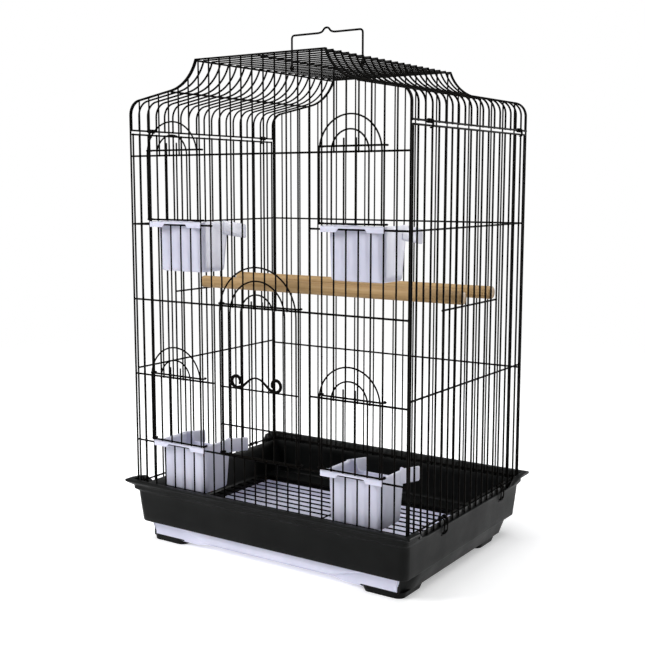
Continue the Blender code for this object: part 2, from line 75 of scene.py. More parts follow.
# %% Heights of the rails
WIRE_FOOT = RIM_Z - 0.0137
BOTTOM_RAIL = RIM_Z - 0.0040
LOWER_SILL = RIM_Z + 0.0587
LOWER_HEAD = RIM_Z + 0.1553
MID_RAIL = RIM_Z + 0.2626
UPPER_SILL = RIM_Z + 0.3685
UPPER_HEAD = RIM_Z + 0.4624
SIDE_RAIL = RIM_Z + 0.1633
BACK_RAIL = RIM_Z + 0.1593
PERCH_RAIL = RIM_Z + 0.2661
SIDE_TOP = RIM_Z + 0.4926
ROOF_FOOT = RIM_Z + 0.4982
ROOF_TOP = RIM_Z + 0.5865
FLOOR_Z = RIM_Z - 0.0820    # floor that the tray slides on
GRATE_Z = RIM_Z - 0.0576


def front_x(index):
    """Place of an upright wire across the front."""
    return -HALF_W + index * PITCH_X


def side_y(index):
    """Place of an upright wire along a side, or of a roof wire."""
    return -HALF_D + index * PITCH_Y


print("rails from", round(BOTTOM_RAIL, 4), "to", round(UPPER_HEAD, 4), "roof", round(ROOF_TOP, 4))

# %% [markdown]
# ## Finishes
# Each finish is built from noise that is fixed to the piece and measured in metres,
# so that a grain stays the same size on a small clip and on the big base. Small helpers
# do the wiring: a grain, a spread of numbers, a blend of two colours and a bump. An
# image would need unwrapping and could show a seam. Values that are the same all over
# go straight on the shader's own sockets.

# %% Start a finish with a grain
def new_finish(name, colour, roughness, **sockets):
    """A finish with its even values set on the shader."""
    finish = bpy.data.materials.new(name)
    finish.use_nodes = True
    shader = finish.node_tree.nodes["Principled BSDF"]
    shader.inputs["Base Color"].default_value = (*colour, 1)
    shader.inputs["Roughness"].default_value = roughness
    for socket, value in sockets.items():
        shader.inputs[socket.replace("_", " ")].default_value = value
    return finish


def grain(finish, scale, detail=4, stretch=(1, 1, 1)):
    """A noise pattern that stays put on the piece."""
    nodes, links = finish.node_tree.nodes, finish.node_tree.links
    place = nodes.new("ShaderNodeTexCoord")
    mapping = nodes.new("ShaderNodeMapping")
    noise = nodes.new("ShaderNodeTexNoise")
    mapping.inputs["Scale"].default_value = stretch
    noise.inputs["Scale"].default_value = scale
    noise.inputs["Detail"].default_value = detail
    links.new(place.outputs["Object"], mapping.inputs["Vector"])
    links.new(mapping.outputs["Vector"], noise.inputs["Vector"])
    return noise.outputs["Fac"]


print("finishes start from", bpy.app.version_string, "noise")

# %% [markdown]
# A grain is a number between 0 and 1 at each spot. A map range turns it into a roughness
# and a colour ramp turns it into a tint. A curve could do both, but two fixed ends say
# plainly how dull and how shiny, or how dark and how light, a finish gets.

# %% Turn a grain into numbers and colours
NOISE_LOW, NOISE_HIGH = 0.3, 0.7    # noise seldom leaves this range


def spread(finish, pattern, low, high):
    """Turn a pattern into numbers from low to high."""
    tree = finish.node_tree
    node = tree.nodes.new("ShaderNodeMapRange")
    node.inputs["From Min"].default_value = NOISE_LOW
    node.inputs["From Max"].default_value = NOISE_HIGH
    node.inputs["To Min"].default_value = low
    node.inputs["To Max"].default_value = high
    tree.links.new(pattern, node.inputs["Value"])
    return node.outputs["Result"]


def tint(finish, pattern, dark, light, low=0.35, high=0.65):
    """Turn a pattern into colours between dark and light."""
    tree = finish.node_tree
    ramp = tree.nodes.new("ShaderNodeValToRGB")
    ramp.color_ramp.elements[0].position = low
    ramp.color_ramp.elements[1].position = high
    ramp.color_ramp.elements[0].color = (*dark, 1)
    ramp.color_ramp.elements[1].color = (*light, 1)
    tree.links.new(pattern, ramp.inputs["Fac"])
    return ramp.outputs["Color"]


print("noise is read from", NOISE_LOW, "to", NOISE_HIGH)

# %% [markdown]
# The last helper joins the patterns to the shader. Fine relief is a bump, which changes
# only the shading: real relief of a few hundredths of a millimetre would need millions
# of faces.

# %% Plug the patterns in
def dress(finish, colour=None, roughness=None, height=None, depth=0.0001, strength=0.5):
    """Plug the patterns into the shader of a finish."""
    tree = finish.node_tree
    shader = tree.nodes["Principled BSDF"]
    if colour:
        tree.links.new(colour, shader.inputs["Base Color"])
    if roughness:
        tree.links.new(roughness, shader.inputs["Roughness"])
    if height:
        bump = tree.nodes.new("ShaderNodeBump")
        bump.inputs["Distance"].default_value = depth
        bump.inputs["Strength"].default_value = strength
        tree.links.new(height, bump.inputs["Height"])
        tree.links.new(bump.outputs["Normal"], shader.inputs["Normal"])
    return finish


print("finishes so far:", len(bpy.data.materials))

# %% [markdown]
# The wires are mild steel with a baked black enamel. Enamel lies in a skin that is
# never quite even, so its gloss drifts over a centimetre and its surface has a very
# fine orange peel. The black is a touch warm, which keeps it from looking like ink.
# Its shine is kept low: a thin bright wire would look like bare metal.

# %% Black wire enamel
enamel = new_finish("black_wire_enamel", (0.003, 0.003, 0.003), 0.50, Specular_IOR_Level=0.02)
dress(enamel,
      colour=tint(enamel, grain(enamel, 140, 5), (0.0010, 0.0009, 0.0008),
                  (0.0040, 0.0033, 0.0025)),
      roughness=spread(enamel, grain(enamel, 95, 3), 0.42, 0.62),
      height=grain(enamel, 1500, 3), depth=0.00008, strength=0.35)
print(enamel.name)

# %% [markdown]
# The base is moulded from black plastic, probably polypropylene. Its mould was blasted
# with grit, which leaves a fine even texture and a soft shine. Handling polishes some
# places, so the shine also changes slowly across the walls.

# %% Black moulding
moulding = new_finish("black_moulding", (0.004, 0.004, 0.004), 0.42, Specular_IOR_Level=0.085)
dress(moulding,
      colour=tint(moulding, grain(moulding, 30, 6), (0.0018, 0.0021, 0.0020),
                  (0.0036, 0.0040, 0.0038)),
      roughness=spread(moulding, grain(moulding, 22, 5), 0.36, 0.52),
      height=grain(moulding, 2600, 2), depth=0.00006, strength=0.45)
print(moulding.name)

# %% [markdown]
# Tray and cups are pale plastic with a touch of lavender. Thin walls let a little light
# through, which softens their shadows, so the finish has a small subsurface share.
# A faint cloudiness shows where the plastic flowed in the mould.

# %% Pale moulding
pale = new_finish("pale_moulding", (0.62, 0.62, 0.75), 0.42, Subsurface_Weight=0.06,
                  Subsurface_Scale=0.002)
dress(pale,
      colour=tint(pale, grain(pale, 24, 5), (0.580, 0.585, 0.715), (0.660, 0.660, 0.790)),
      roughness=spread(pale, grain(pale, 60, 4), 0.30, 0.46),
      height=grain(pale, 900, 3), depth=0.00006, strength=0.25)
print(pale.name)

# %% [markdown]
# Perches are unvarnished beech dowels. Beech has long thin flecks along the grain and
# slow bands of lighter and darker wood. Both are the same noise, squeezed along the
# length of the dowel: many cycles across it and few along it.

# %% Beech
COLOUR_A, COLOUR_B, COLOUR_OUT = 6, 7, 2    # the colour sockets of a Mix node
beech = new_finish("turned_beech", (0.60, 0.43, 0.22), 0.62)
flecks = grain(beech, 90, 6, (0.07, 4.0, 4.0))
bands = grain(beech, 26, 4, (0.12, 2.0, 2.0))
wood = beech.node_tree.nodes.new("ShaderNodeMix")
wood.data_type = "RGBA"
wood.blend_type = "MULTIPLY"
wood.inputs["Factor"].default_value = 0.75
beech.node_tree.links.new(tint(beech, bands, (0.350, 0.210, 0.080), (0.430, 0.272, 0.112)),
                          wood.inputs[COLOUR_A])
beech.node_tree.links.new(tint(beech, flecks, (0.74, 0.68, 0.60), (1, 1, 1), 0.36, 0.52),
                          wood.inputs[COLOUR_B])
dress(beech, colour=wood.outputs[COLOUR_OUT], roughness=spread(beech, flecks, 0.72, 0.52),
      height=flecks, depth=0.00025, strength=0.5)
print(beech.name)

# %% [markdown]
# ## Round wires
# A wire could be a Blender curve with a bevel, which is quick but leaves flat cut ends.
# Here each wire is swept as a mesh: a ring of points travels along the bent line and
# keeps its turn, and the last rings shrink, so that every cut end is slightly domed.
# Eight sides are enough for a wire as thin as this.

# %% Sweep a wire along a line
DOME = ((0.0, 0.5), (0.16, 0.86), (0.5, 1.0))   # distance from a cut end and width, in radii
SAME_PLACE = 1e-7           # a line whose ends are this close is a ring
ASLANT = 0.31, 0.17, 0.93   # a way that no wire of the cage runs


def unit(rows):
    """Rows of vectors, each made one long."""
    return rows / np.linalg.norm(rows, axis=1, keepdims=True)


def sweep(line, thickness=WIRE, sides=8):
    """Vertices and faces of one round wire; a line that ends where it starts is a ring."""
    points = np.array([tuple(p) for p in line], float)
    widths = np.broadcast_to(np.asarray(thickness, float), (len(points),)).copy()
    closed = np.allclose(points[0], points[-1], atol=SAME_PLACE)
    if closed:
        points, widths = points[:-1], widths[:-1]
        ahead = unit(np.roll(points, -1, 0) - points)
        heading = unit(ahead + np.roll(ahead, 1, 0))
    else:
        ahead = unit(np.diff(points, axis=0))
        tips = [[points[end] + way * depth * widths[end] for depth, _ in DOME]
                for end, way in ((0, ahead[0]), (-1, -ahead[-1]))]
        points = np.vstack([tips[0], points[1:-1], tips[1][::-1]])
        domes = [width * widths[end] for end in (0, -1) for _, width in DOME]
        first, last = domes[:len(DOME)], domes[len(DOME):]
        widths = np.concatenate([first, widths[1:-1], last[::-1]])
        ahead = unit(np.diff(points, axis=0))
        heading = unit(np.vstack([ahead[:1], ahead[:-1] + ahead[1:], ahead[-1:]]))
    return wrap(points, widths, heading, closed, sides)


print("rings at a cut end:", len(DOME))

# %% [markdown]
# Each ring has to be turned like the one before it, or the wire would look twisted. The
# direction across the wire is carried along the line and made square to it again at
# every point, which also works where the wire curls.

# %% Wrap rings round the line
def wrap(points, widths, heading, closed, sides):
    """Rings of vertices round the points, joined by faces."""
    across = np.cross(heading[0], ASLANT)
    turns = np.arange(sides) * math.tau / sides
    corners = []
    for point, width, along in zip(points, widths, heading):
        across = across - along * np.dot(across, along)
        across /= np.linalg.norm(across)
        up = np.cross(along, across)
        corners.append(point + width * (np.outer(np.cos(turns), across)
                                        + np.outer(np.sin(turns), up)))
    count = len(points)
    faces = []
    for ring in range(count if closed else count - 1):
        here, there = ring * sides, (ring + 1) % count * sides
        for side in range(sides):
            beside = (side + 1) % sides
            faces.append((here + side, here + beside, there + beside, there + side))
    if not closed:
        faces.append(tuple(reversed(range(sides))))
        faces.append(tuple(range((count - 1) * sides, count * sides)))
    return np.vstack(corners), faces


print("faces of a straight wire:", len(sweep([(0, 0, 0), (0, 0, 0.1)])[1]))

# %% [markdown]
# Many swept wires or moulded shells make one piece. The next helpers gather them in one
# mesh, let Blender turn all faces outward, smooth the shading except at real edges, give
# the piece its finish and tie it to its body and to the CAD nodes that it stands for.

# %% Gather shapes in one piece
def gather(shapes):
    """One list of vertices and one of faces from several shapes."""
    vertices, faces, start = [], [], 0
    for corners, patches in shapes:
        vertices.extend(map(tuple, corners))
        faces.extend(tuple(start + corner for corner in patch) for patch in patches)
        start += len(corners)
    return vertices, faces


CREASE = 40                 # edges sharper than this many degrees stay sharp


def make_piece(name, shapes, finish, crease=CREASE):
    """A mesh object in the scene, closed and shaded."""
    vertices, faces = gather(shapes)
    mesh = bpy.data.meshes.new(name)
    mesh.from_pydata(vertices, [], faces)
    work = bmesh.new()
    work.from_mesh(mesh)
    bmesh.ops.recalc_face_normals(work, faces=work.faces)
    work.to_mesh(mesh)
    work.free()
    mesh.shade_smooth()
    mesh.set_sharp_from_angle(angle=math.radians(crease))
    mesh.materials.append(finish)
    piece = bpy.data.objects.new(name, mesh)
    bpy.context.scene.collection.objects.link(piece)
    return piece


def settle(piece, body, *nodes):
    """Tie a piece to its body and let it stand for its CAD nodes."""
    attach(piece, body)
    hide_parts(*nodes)
    print(f"{piece.name:26} {len(piece.data.polygons):6} faces on {body}")


# %% [markdown]
# A wire bent in a jig has no sharp corner. This helper rounds each corner of a rough line
# with a short curve between the two straight stretches, which is how a bent wire looks.
# Drawing every point of a bend by hand would be slow and never quite even.

# %% Bend a line round its corners
BEND_SHARE = 0.48           # the most of a straight stretch that one bend takes


def bent(corners, radius, steps=6):
    """The line through the corners, each one rounded."""
    corners = [Vector(corner) for corner in corners]
    line = [corners[0]]
    for before, corner, after in zip(corners, corners[1:], corners[2:]):
        back, on = before - corner, after - corner
        reach = min(radius, back.length * BEND_SHARE, on.length * BEND_SHARE)
        start, end = corner + back.normalized() * reach, corner + on.normalized() * reach
        for step in range(steps + 1):
            share = step / steps
            line.append(start * (1 - share) ** 2 + corner * (2 * share * (1 - share))
                        + end * share ** 2)
    line.append(corners[-1])
    return line


print("points of one bend:", len(bent([(0, 0, 0), (0, 0, 0.1), (0.1, 0, 0.1)], 0.01)))

# %% [markdown]
# ## The roof line
# Seen from the front, the roof starts at the top of the sides, turns inward over a round
# shoulder, rises gently, sweeps up through a hollow and ends in a flat top. Front panel,
# back panel and every roof wire follow this one line, so it is drawn only once, from two
# arcs and the straight rise between them. A free curve could follow it as well, but arcs
# are how a bender makes it.

# %% Draw the roof line
SHOULDER_R, SHOULDER_Z = 0.020, RIM_Z + 0.5184  # the round shoulder and its centre's height
SLOPE = math.radians(10)                        # the gentle rise after it
HOLLOW_X, HOLLOW_R = 0.1469, 0.057              # foot and radius of the hollow
SHOULDER_STEPS, HOLLOW_STEPS = 12, 12


def half_roof():
    """(x, z) from the roof's foot at +X to the edge of the flat top."""
    line = [(HALF_W, ROOF_FOOT - STUB)]
    centre = HALF_W - SHOULDER_R
    for step in range(SHOULDER_STEPS + 1):
        turn = (math.pi / 2 - SLOPE) * step / SHOULDER_STEPS
        line.append((centre + SHOULDER_R * math.cos(turn),
                     SHOULDER_Z + SHOULDER_R * math.sin(turn)))
    slope_x, slope_z = line[-1]
    hollow_z = slope_z + (slope_x - HOLLOW_X) * math.tan(SLOPE)
    steepest = math.acos(math.cos(SLOPE) - (ROOF_TOP - hollow_z) / HOLLOW_R)
    for step in range(HOLLOW_STEPS + 1):
        turn = SLOPE + (steepest - SLOPE) * step / HOLLOW_STEPS
        line.append((HOLLOW_X - HOLLOW_R * (math.sin(turn) - math.sin(SLOPE)),
                     hollow_z + HOLLOW_R * (math.cos(SLOPE) - math.cos(turn))))
    return line


HALF_ROOF = half_roof()
ROOF_LINE = HALF_ROOF + [(-x, z) for x, z in reversed(HALF_ROOF)]
FLAT_EDGE = HALF_ROOF[-1][0]
HOLLOW_FOOT = HALF_ROOF[-1 - HOLLOW_STEPS]
print("flat top from", round(-FLAT_EDGE, 4), "to", round(FLAT_EDGE, 4))


def roof_height(x):
    """Height of the roof line above a place across the cage."""
    places = [place for place, _ in reversed(HALF_ROOF[1:])]
    heights = [height for _, height in reversed(HALF_ROOF[1:])]
    return float(np.interp(abs(x), places, heights))

# %% [markdown]
# ## Front and back panels
# One bent wire frames the panel: up one side, over the roof line and down the other side.
# Upright wires stand inside it and stop at the roof line. Rails lie behind them, welded
# where they cross. Frame and rails are drawn a little stouter than the uprights. In the
# front, uprights are cut away inside four feeder openings and the main doorway, with a
# short stub left at each weld.

# %% Wires of the front
CUP_WIRES = 2, 7            # the uprights beside the left feeder openings
DOOR_WIRES = 9, 16          # the uprights beside the main doorway


def front_uprights():
    """(x, foot, head) of every stretch of upright wire."""
    left_cup = range(CUP_WIRES[0] + 1, CUP_WIRES[1])
    right_cup = [FRONT_GAPS - index for index in left_cup]
    stretches = []
    for index in range(1, FRONT_GAPS):
        x = front_x(index)
        head = roof_height(x) - WIRE / 2
        if index in left_cup or index in right_cup:
            stretches += [(x, WIRE_FOOT, LOWER_SILL + STUB),
                          (x, LOWER_HEAD - STUB, UPPER_SILL + STUB), (x, UPPER_HEAD - STUB, head)]
        elif DOOR_WIRES[0] < index < DOOR_WIRES[1]:
            stretches += [(x, WIRE_FOOT, LOWER_SILL + STUB), (x, MID_RAIL - STUB, head)]
        else:
            stretches.append((x, WIRE_FOOT, head))
    return stretches


def front_rails():
    """(left, right, z) of the rails; the short ones stop beside the main doorway."""
    beside = abs(front_x(DOOR_WIRES[0] - 1)) - WIRE
    rails = [(-HALF_W, HALF_W, z) for z in (BOTTOM_RAIL, LOWER_SILL, MID_RAIL, UPPER_HEAD)]
    for z in (LOWER_HEAD, UPPER_SILL):
        rails += [(-HALF_W, -beside, z), (beside, HALF_W, z)]
    return rails


print("front:", len(front_uprights()), "stretches of upright and", len(front_rails()), "rails")

# %% [markdown]
# The two end panels differ only in their uprights and rails, so one function builds both.
# The back is a plain row of uprights on three rails.

# %% Build both end panels
def end_panel(name, y, inward, uprights, rails):
    """A framed panel of wires at the front or at the back."""
    over = [(x, y, z) for x, z in ROOF_LINE[1:-1]]
    frame_wire = [(HALF_W, y, WIRE_FOOT)] + over + [(-HALF_W, y, WIRE_FOOT)]
    lines = [[(x, y, low), (x, y, high)] for x, low, high in uprights]
    behind = y + inward * WELD
    stout = [[(left, behind, z), (right, behind, z)] for left, right, z in rails]
    shapes = [sweep(line) for line in lines]
    shapes += [sweep(line, STOUT_WIRE) for line in [frame_wire] + stout]
    piece = make_piece(name, shapes, enamel)
    settle(piece, "cage", name)


end_panel("front_panel", -HALF_D, 1, front_uprights(), front_rails())
back_wires = [(front_x(index), WIRE_FOOT, roof_height(front_x(index)) - WIRE / 2)
              for index in range(1, FRONT_GAPS)]
end_panel("back_panel", HALF_D, -1, back_wires,
          [(-HALF_W, HALF_W, z) for z in (BOTTOM_RAIL, BACK_RAIL, UPPER_SILL)])

# %% [markdown]
# ## Side panels and roof
# A side is a plain row of uprights on rails, with one short rail inside that carries the
# perches. The roof is a row of wires bent over the roof line. Seven wires from front to
# back hold them, and their ends stand out a little at the feet of the hollows and at
# the edges of the flat top.

# %% Side panels
END_SIDE_WIRE = 0.0050      # how far the outer wires stand inside the end panels
END_ROOF_WIRE = 0.0026
PERCH_RAIL_ENDS = 5, 14.3   # counted in spaces from the front


def row_places(set_back):
    """Places of a row of wires from front to back."""
    inner = [side_y(index) for index in range(1, SIDE_GAPS)]
    return [side_y(0) + set_back] + inner + [side_y(SIDE_GAPS) - set_back]


def side_panel(name, side):
    """Uprights and rails of one side."""
    x = side * HALF_W
    places = row_places(END_SIDE_WIRE)
    start, end = places[0] - WIRE, places[-1] + WIRE
    lines = [[(x, y, WIRE_FOOT), (x, y, SIDE_TOP + STUB)] for y in places]
    inside, outside = x - side * WELD, x + side * WELD
    lines += [[(inside, start, z), (inside, end, z)] for z in (BOTTOM_RAIL, SIDE_RAIL, UPPER_SILL)]
    lines.append([(inside, side_y(end), PERCH_RAIL) for end in PERCH_RAIL_ENDS])
    lines.append([(outside, start, SIDE_TOP), (outside, end, SIDE_TOP)])
    shapes = [sweep(line, STOUT_WIRE) for line in lines]
    settle(make_piece(name, shapes, enamel), "cage", name)


side_panel("left_panel", -1)
side_panel("right_panel", 1)

# %% [markdown]
# A bent roof wire is the roof line itself, set back from the front step by step. Long
# wires lie under the roof line in the hollows and on the flat top, and outside the sides
# at its feet, where the latches are wound on them.

# %% Roof
EDGE_STEP = 0.001           # a long wire lies this far from the bend that it marks


def roof():
    """Bent roof wires and the long wires that hold them."""
    places = row_places(END_ROOF_WIRE)
    start, end = places[0] - WIRE, places[-1] + WIRE
    lines = [[(x, y, z) for x, z in ROOF_LINE] for y in places]
    rails = [(0, ROOF_TOP - WELD)]
    for side in (-1, 1):
        rails.append((side * (HALF_W + WELD), ROOF_FOOT))
        rails.append((side * (HOLLOW_FOOT[0] + EDGE_STEP), HOLLOW_FOOT[1] - WELD))
        rails.append((side * (FLAT_EDGE - EDGE_STEP), ROOF_TOP - WELD))
    lines += [[(x, start, z), (x, end, z)] for x, z in rails]
    shapes = [sweep(line, STOUT_WIRE) for line in lines]
    settle(make_piece("roof_panel", shapes, enamel), "cage", "roof_panel")


roof()

# %% [markdown]
# ## Doors
# Each door is a set of arches round one centre, with two short bars in the middle, welded
# on cross wires. The ends of two cross wires curl round the uprights beside the opening,
# so the door slides up on them. The curl is a half turn seen from above. A closed eye
# would hold the door just as well, but an open one leaves room for the lip of a cup that
# is lifted past it.

# %% Bend the parts of a door
DOOR_RAIL_Y = -HALF_D - 0.0041
DOOR_BAR_Y = -HALF_D - 0.0054
HOOK_R = 0.0041
HOOK_START, HOOK_TURN = 95, 185     # degrees, seen from above
HOOK_STEPS, ARCH_STEPS = 12, 28


def hooked_rail(left, right, z):
    """A cross wire whose two ends curl round the uprights."""
    line = []
    for x, side in ((left, -1), (right, 1)):
        turns = [math.radians(HOOK_START - HOOK_TURN * step / HOOK_STEPS)
                 for step in range(HOOK_STEPS + 1)]
        curl = [(x + side * HOOK_R * math.cos(turn), -HALF_D + HOOK_R * math.sin(turn), z)
                for turn in turns]
        line += curl if side < 0 else curl[::-1]
    return line


def arch(centre, reach, foot, spring):
    """A door wire with two legs and a round top."""
    line = [(centre - reach, DOOR_BAR_Y, foot)]
    for step in range(ARCH_STEPS + 1):
        turn = math.pi * (1 - step / ARCH_STEPS)
        line.append((centre + reach * math.cos(turn), DOOR_BAR_Y, spring + reach * math.sin(turn)))
    return line + [(centre + reach, DOOR_BAR_Y, foot)]


print("points of a hooked rail:", len(hooked_rail(-0.04, 0.04, 0)))

# %% [markdown]
# The main door has three arches and four cross wires. A feeder door is narrower, with
# two arches and two cross wires. The span, the sill and the height where the arches begin
# are all that differs, so the same function builds all five.

# %% Build the five doors
DOOR_SPRING = RIM_Z + 0.2545    # where the main door's arches begin
DOOR_MIDDLE, DOOR_LOW = RIM_Z + 0.1544, RIM_Z + 0.1028
MAIN_FOOT, FEEDER_FOOT = 0.0040, 0.0071         # lowest cross wire over the sill
MAIN_HEAD, LOWER_DOOR_HEAD, UPPER_DOOR_HEAD = 0.0036, 0.0050, 0.0068
MAIN_BARS, FEEDER_BARS = 0.0180, 0.0165         # the middle bars over the arches' foot


def sliding_door(name, span, sill, spring, levels, bar_top):
    """Arches, middle bars, two hooked rails and the plain rails of one door."""
    left, right = (front_x(index) for index in span)
    centre, reach = (left + right) / 2, (right - left) / 2
    foot = sill - STUB
    lines = [arch(centre, reach - inset * PITCH_X, foot, spring) for inset in range(3)
             if reach - inset * PITCH_X > PITCH_X]
    for side in (-1, 1):
        x = centre + side * PITCH_X / 2
        lines.append([(x, DOOR_BAR_Y, foot), (x, DOOR_BAR_Y, spring + bar_top)])
    lines += [[(left - WIRE, DOOR_RAIL_Y, z), (right + WIRE, DOOR_RAIL_Y, z)] for z in levels[1:]]
    shapes = [sweep(line) for line in lines]
    shapes += [sweep(hooked_rail(left, right, z), STOUT_WIRE) for z in (sill, levels[0])]
    settle(make_piece(name, shapes, enamel), name, name)


sliding_door("main_door", DOOR_WIRES, LOWER_SILL + MAIN_FOOT, DOOR_SPRING,
             (MID_RAIL + MAIN_HEAD, DOOR_MIDDLE, DOOR_LOW), MAIN_BARS)
RIGHT_CUP_WIRES = FRONT_GAPS - CUP_WIRES[1], FRONT_GAPS - CUP_WIRES[0]
for side_name, span in (("left", CUP_WIRES), ("right", RIGHT_CUP_WIRES)):
    sliding_door("feeder_door_lower_" + side_name, span, LOWER_SILL + FEEDER_FOOT, LOWER_HEAD,
                 (LOWER_HEAD + LOWER_DOOR_HEAD,), FEEDER_BARS)
    sliding_door("feeder_door_upper_" + side_name, span, UPPER_SILL + FEEDER_FOOT, UPPER_HEAD,
                 (UPPER_HEAD + UPPER_DOOR_HEAD,), FEEDER_BARS)

# %% [markdown]
# ## Scroll on the main door
# A small ornament of thicker wire sits on the door's middle rail: two curls that meet in
# a pointed arch. A few guide points are drawn for one half, and a curve is threaded
# smoothly through them. The wire swells where it curls, as a forged scroll does.

# %% Thread a smooth curve through points
def threaded(guides, steps=8):
    """A smooth line through all guide points."""
    guides = [Vector(guide) for guide in guides]
    ends = [guides[0] * 2 - guides[1]] + guides + [guides[-1] * 2 - guides[-2]]
    line = []
    for before, start, end, after in zip(ends, ends[1:], ends[2:], ends[3:]):
        for step in range(steps):
            t = step / steps
            line.append(0.5 * (2 * start + (end - before) * t
                               + (2 * before - 5 * start + 4 * end - after) * t ** 2
                               + (3 * start - before - 3 * end + after) * t ** 3))
    return line + [guides[-1]]


print("points between three guides:", len(threaded([(0, 0, 0), (0, 0, 1), (1, 0, 1)])))

# %% [markdown]
# One half of the scroll is drawn and then mirrored. Its curl is a spiral that tightens
# a little. The ornament lies against the door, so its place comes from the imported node.

# %% Forge the scroll
SCROLL_BACK = 0.0015                # from the back of the ornament to its middle line
PEAK = (0, 0.0178), (0.0035, 0.0172), (0.010, 0.0146), (0.022, 0.0052)
CURL_X, CURL_Z = 0.0322, 0.0110     # centre of a curl
CURL_START, CURL_TURN = -120, 330   # degrees
CURL_R, CURL_SHRINK = 0.0088, 0.0030
SCROLL_THIN, SCROLL_SWELL, SWELL_END = 0.0011, 0.0011, 0.03


def scroll_half(side, steps=14):
    """Guide points from the middle peak into an outward curl."""
    guides = [(side * x, z) for x, z in PEAK]
    for step in range(steps + 1):
        turn = math.radians(CURL_START + CURL_TURN * step / steps)
        radius = CURL_R - CURL_SHRINK * step / steps
        guides.append((side * (CURL_X + radius * math.cos(turn)), CURL_Z + radius * math.sin(turn)))
    return guides


scroll_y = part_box("door_scroll")[1].y - SCROLL_BACK
guides = scroll_half(-1)[::-1] + scroll_half(1)[1:]
scroll_line = threaded([(x, scroll_y, DOOR_MIDDLE + z) for x, z in guides], 4)
swell = [SCROLL_THIN + SCROLL_SWELL * min(1, abs(point.x) / SWELL_END) for point in scroll_line]
scroll = make_piece("door_scroll", [sweep(scroll_line, swell, 10)], enamel)
settle(scroll, "main_door", "door_scroll")

# %% [markdown]
# ## Moulded shells
# Base, tray and cups are thin walls of plastic with rounded corners. They are drawn as a
# stack of rings, from the outside bottom up over the rim and down the inside. All rings
# have the same number of points, so neighbours can simply be joined by faces. Rings close
# together make a rounded edge, and rings far apart make a plain wall.

# %% Draw rings
ALONG, ROUND = 26, 8        # points along a straight stretch and steps round a corner


def ring(x0, x1, y0, y1, z, radius):
    """Points round a rectangle with rounded corners."""
    centres = ((x1 - radius, y1 - radius), (x0 + radius, y1 - radius),
               (x0 + radius, y0 + radius), (x1 - radius, y0 + radius))
    points = []
    for number, (x, y) in enumerate(centres):
        for step in range(ROUND + 1):
            turn = math.radians(90 * number + 90 * step / ROUND)
            points.append((x + radius * math.cos(turn), y + radius * math.sin(turn), z))
        turn = math.radians(90 * number + 90)
        ahead = centres[(number + 1) % 4]
        last = points[-1]
        target = (ahead[0] + radius * math.cos(turn), ahead[1] + radius * math.sin(turn))
        for step in range(1, ALONG + 1):
            share = step / (ALONG + 1)
            points.append((last[0] + (target[0] - last[0]) * share,
                           last[1] + (target[1] - last[1]) * share, z))
    return np.array(points)


def stack(rings, endless=False):
    """Join a stack of rings; an endless one closes on its first ring."""
    size, count = len(rings[0]), len(rings)
    faces = []
    for level in range(count if endless else count - 1):
        here, there = level * size, (level + 1) % count * size
        for place in range(size):
            beside = (place + 1) % size
            faces.append((here + place, here + beside, there + beside, there + place))
    if not endless:
        faces.append(tuple(range(size)))
        faces.append(tuple(range((count - 1) * size, count * size)))
    return np.vstack(rings), faces


def ease(share):
    """A smooth step from 0 to 1."""
    share = np.clip(share, 0, 1)
    return share * share * (3 - 2 * share)


print("points in a ring:", len(ring(-1, 1, -1, 1, 0, 0.1)))

# %% [markdown]
# ## The base tub
# Front and back of the tub flare out into a wide rim with a gutter behind it. The flare
# wraps round each corner and then dies away, so that along the sides the cage wires stand
# on a narrow ledge. Behind the wires a low lip keeps seed inside. The profile is one list
# of distances outside the wires and depths under the rim: a steep wall, a soft step, a
# narrow band, the flare, the rolled rim, the gutter, the lip and the ledge of the grate.
# Along the sides, everything above the ledge sinks down to the ledge.

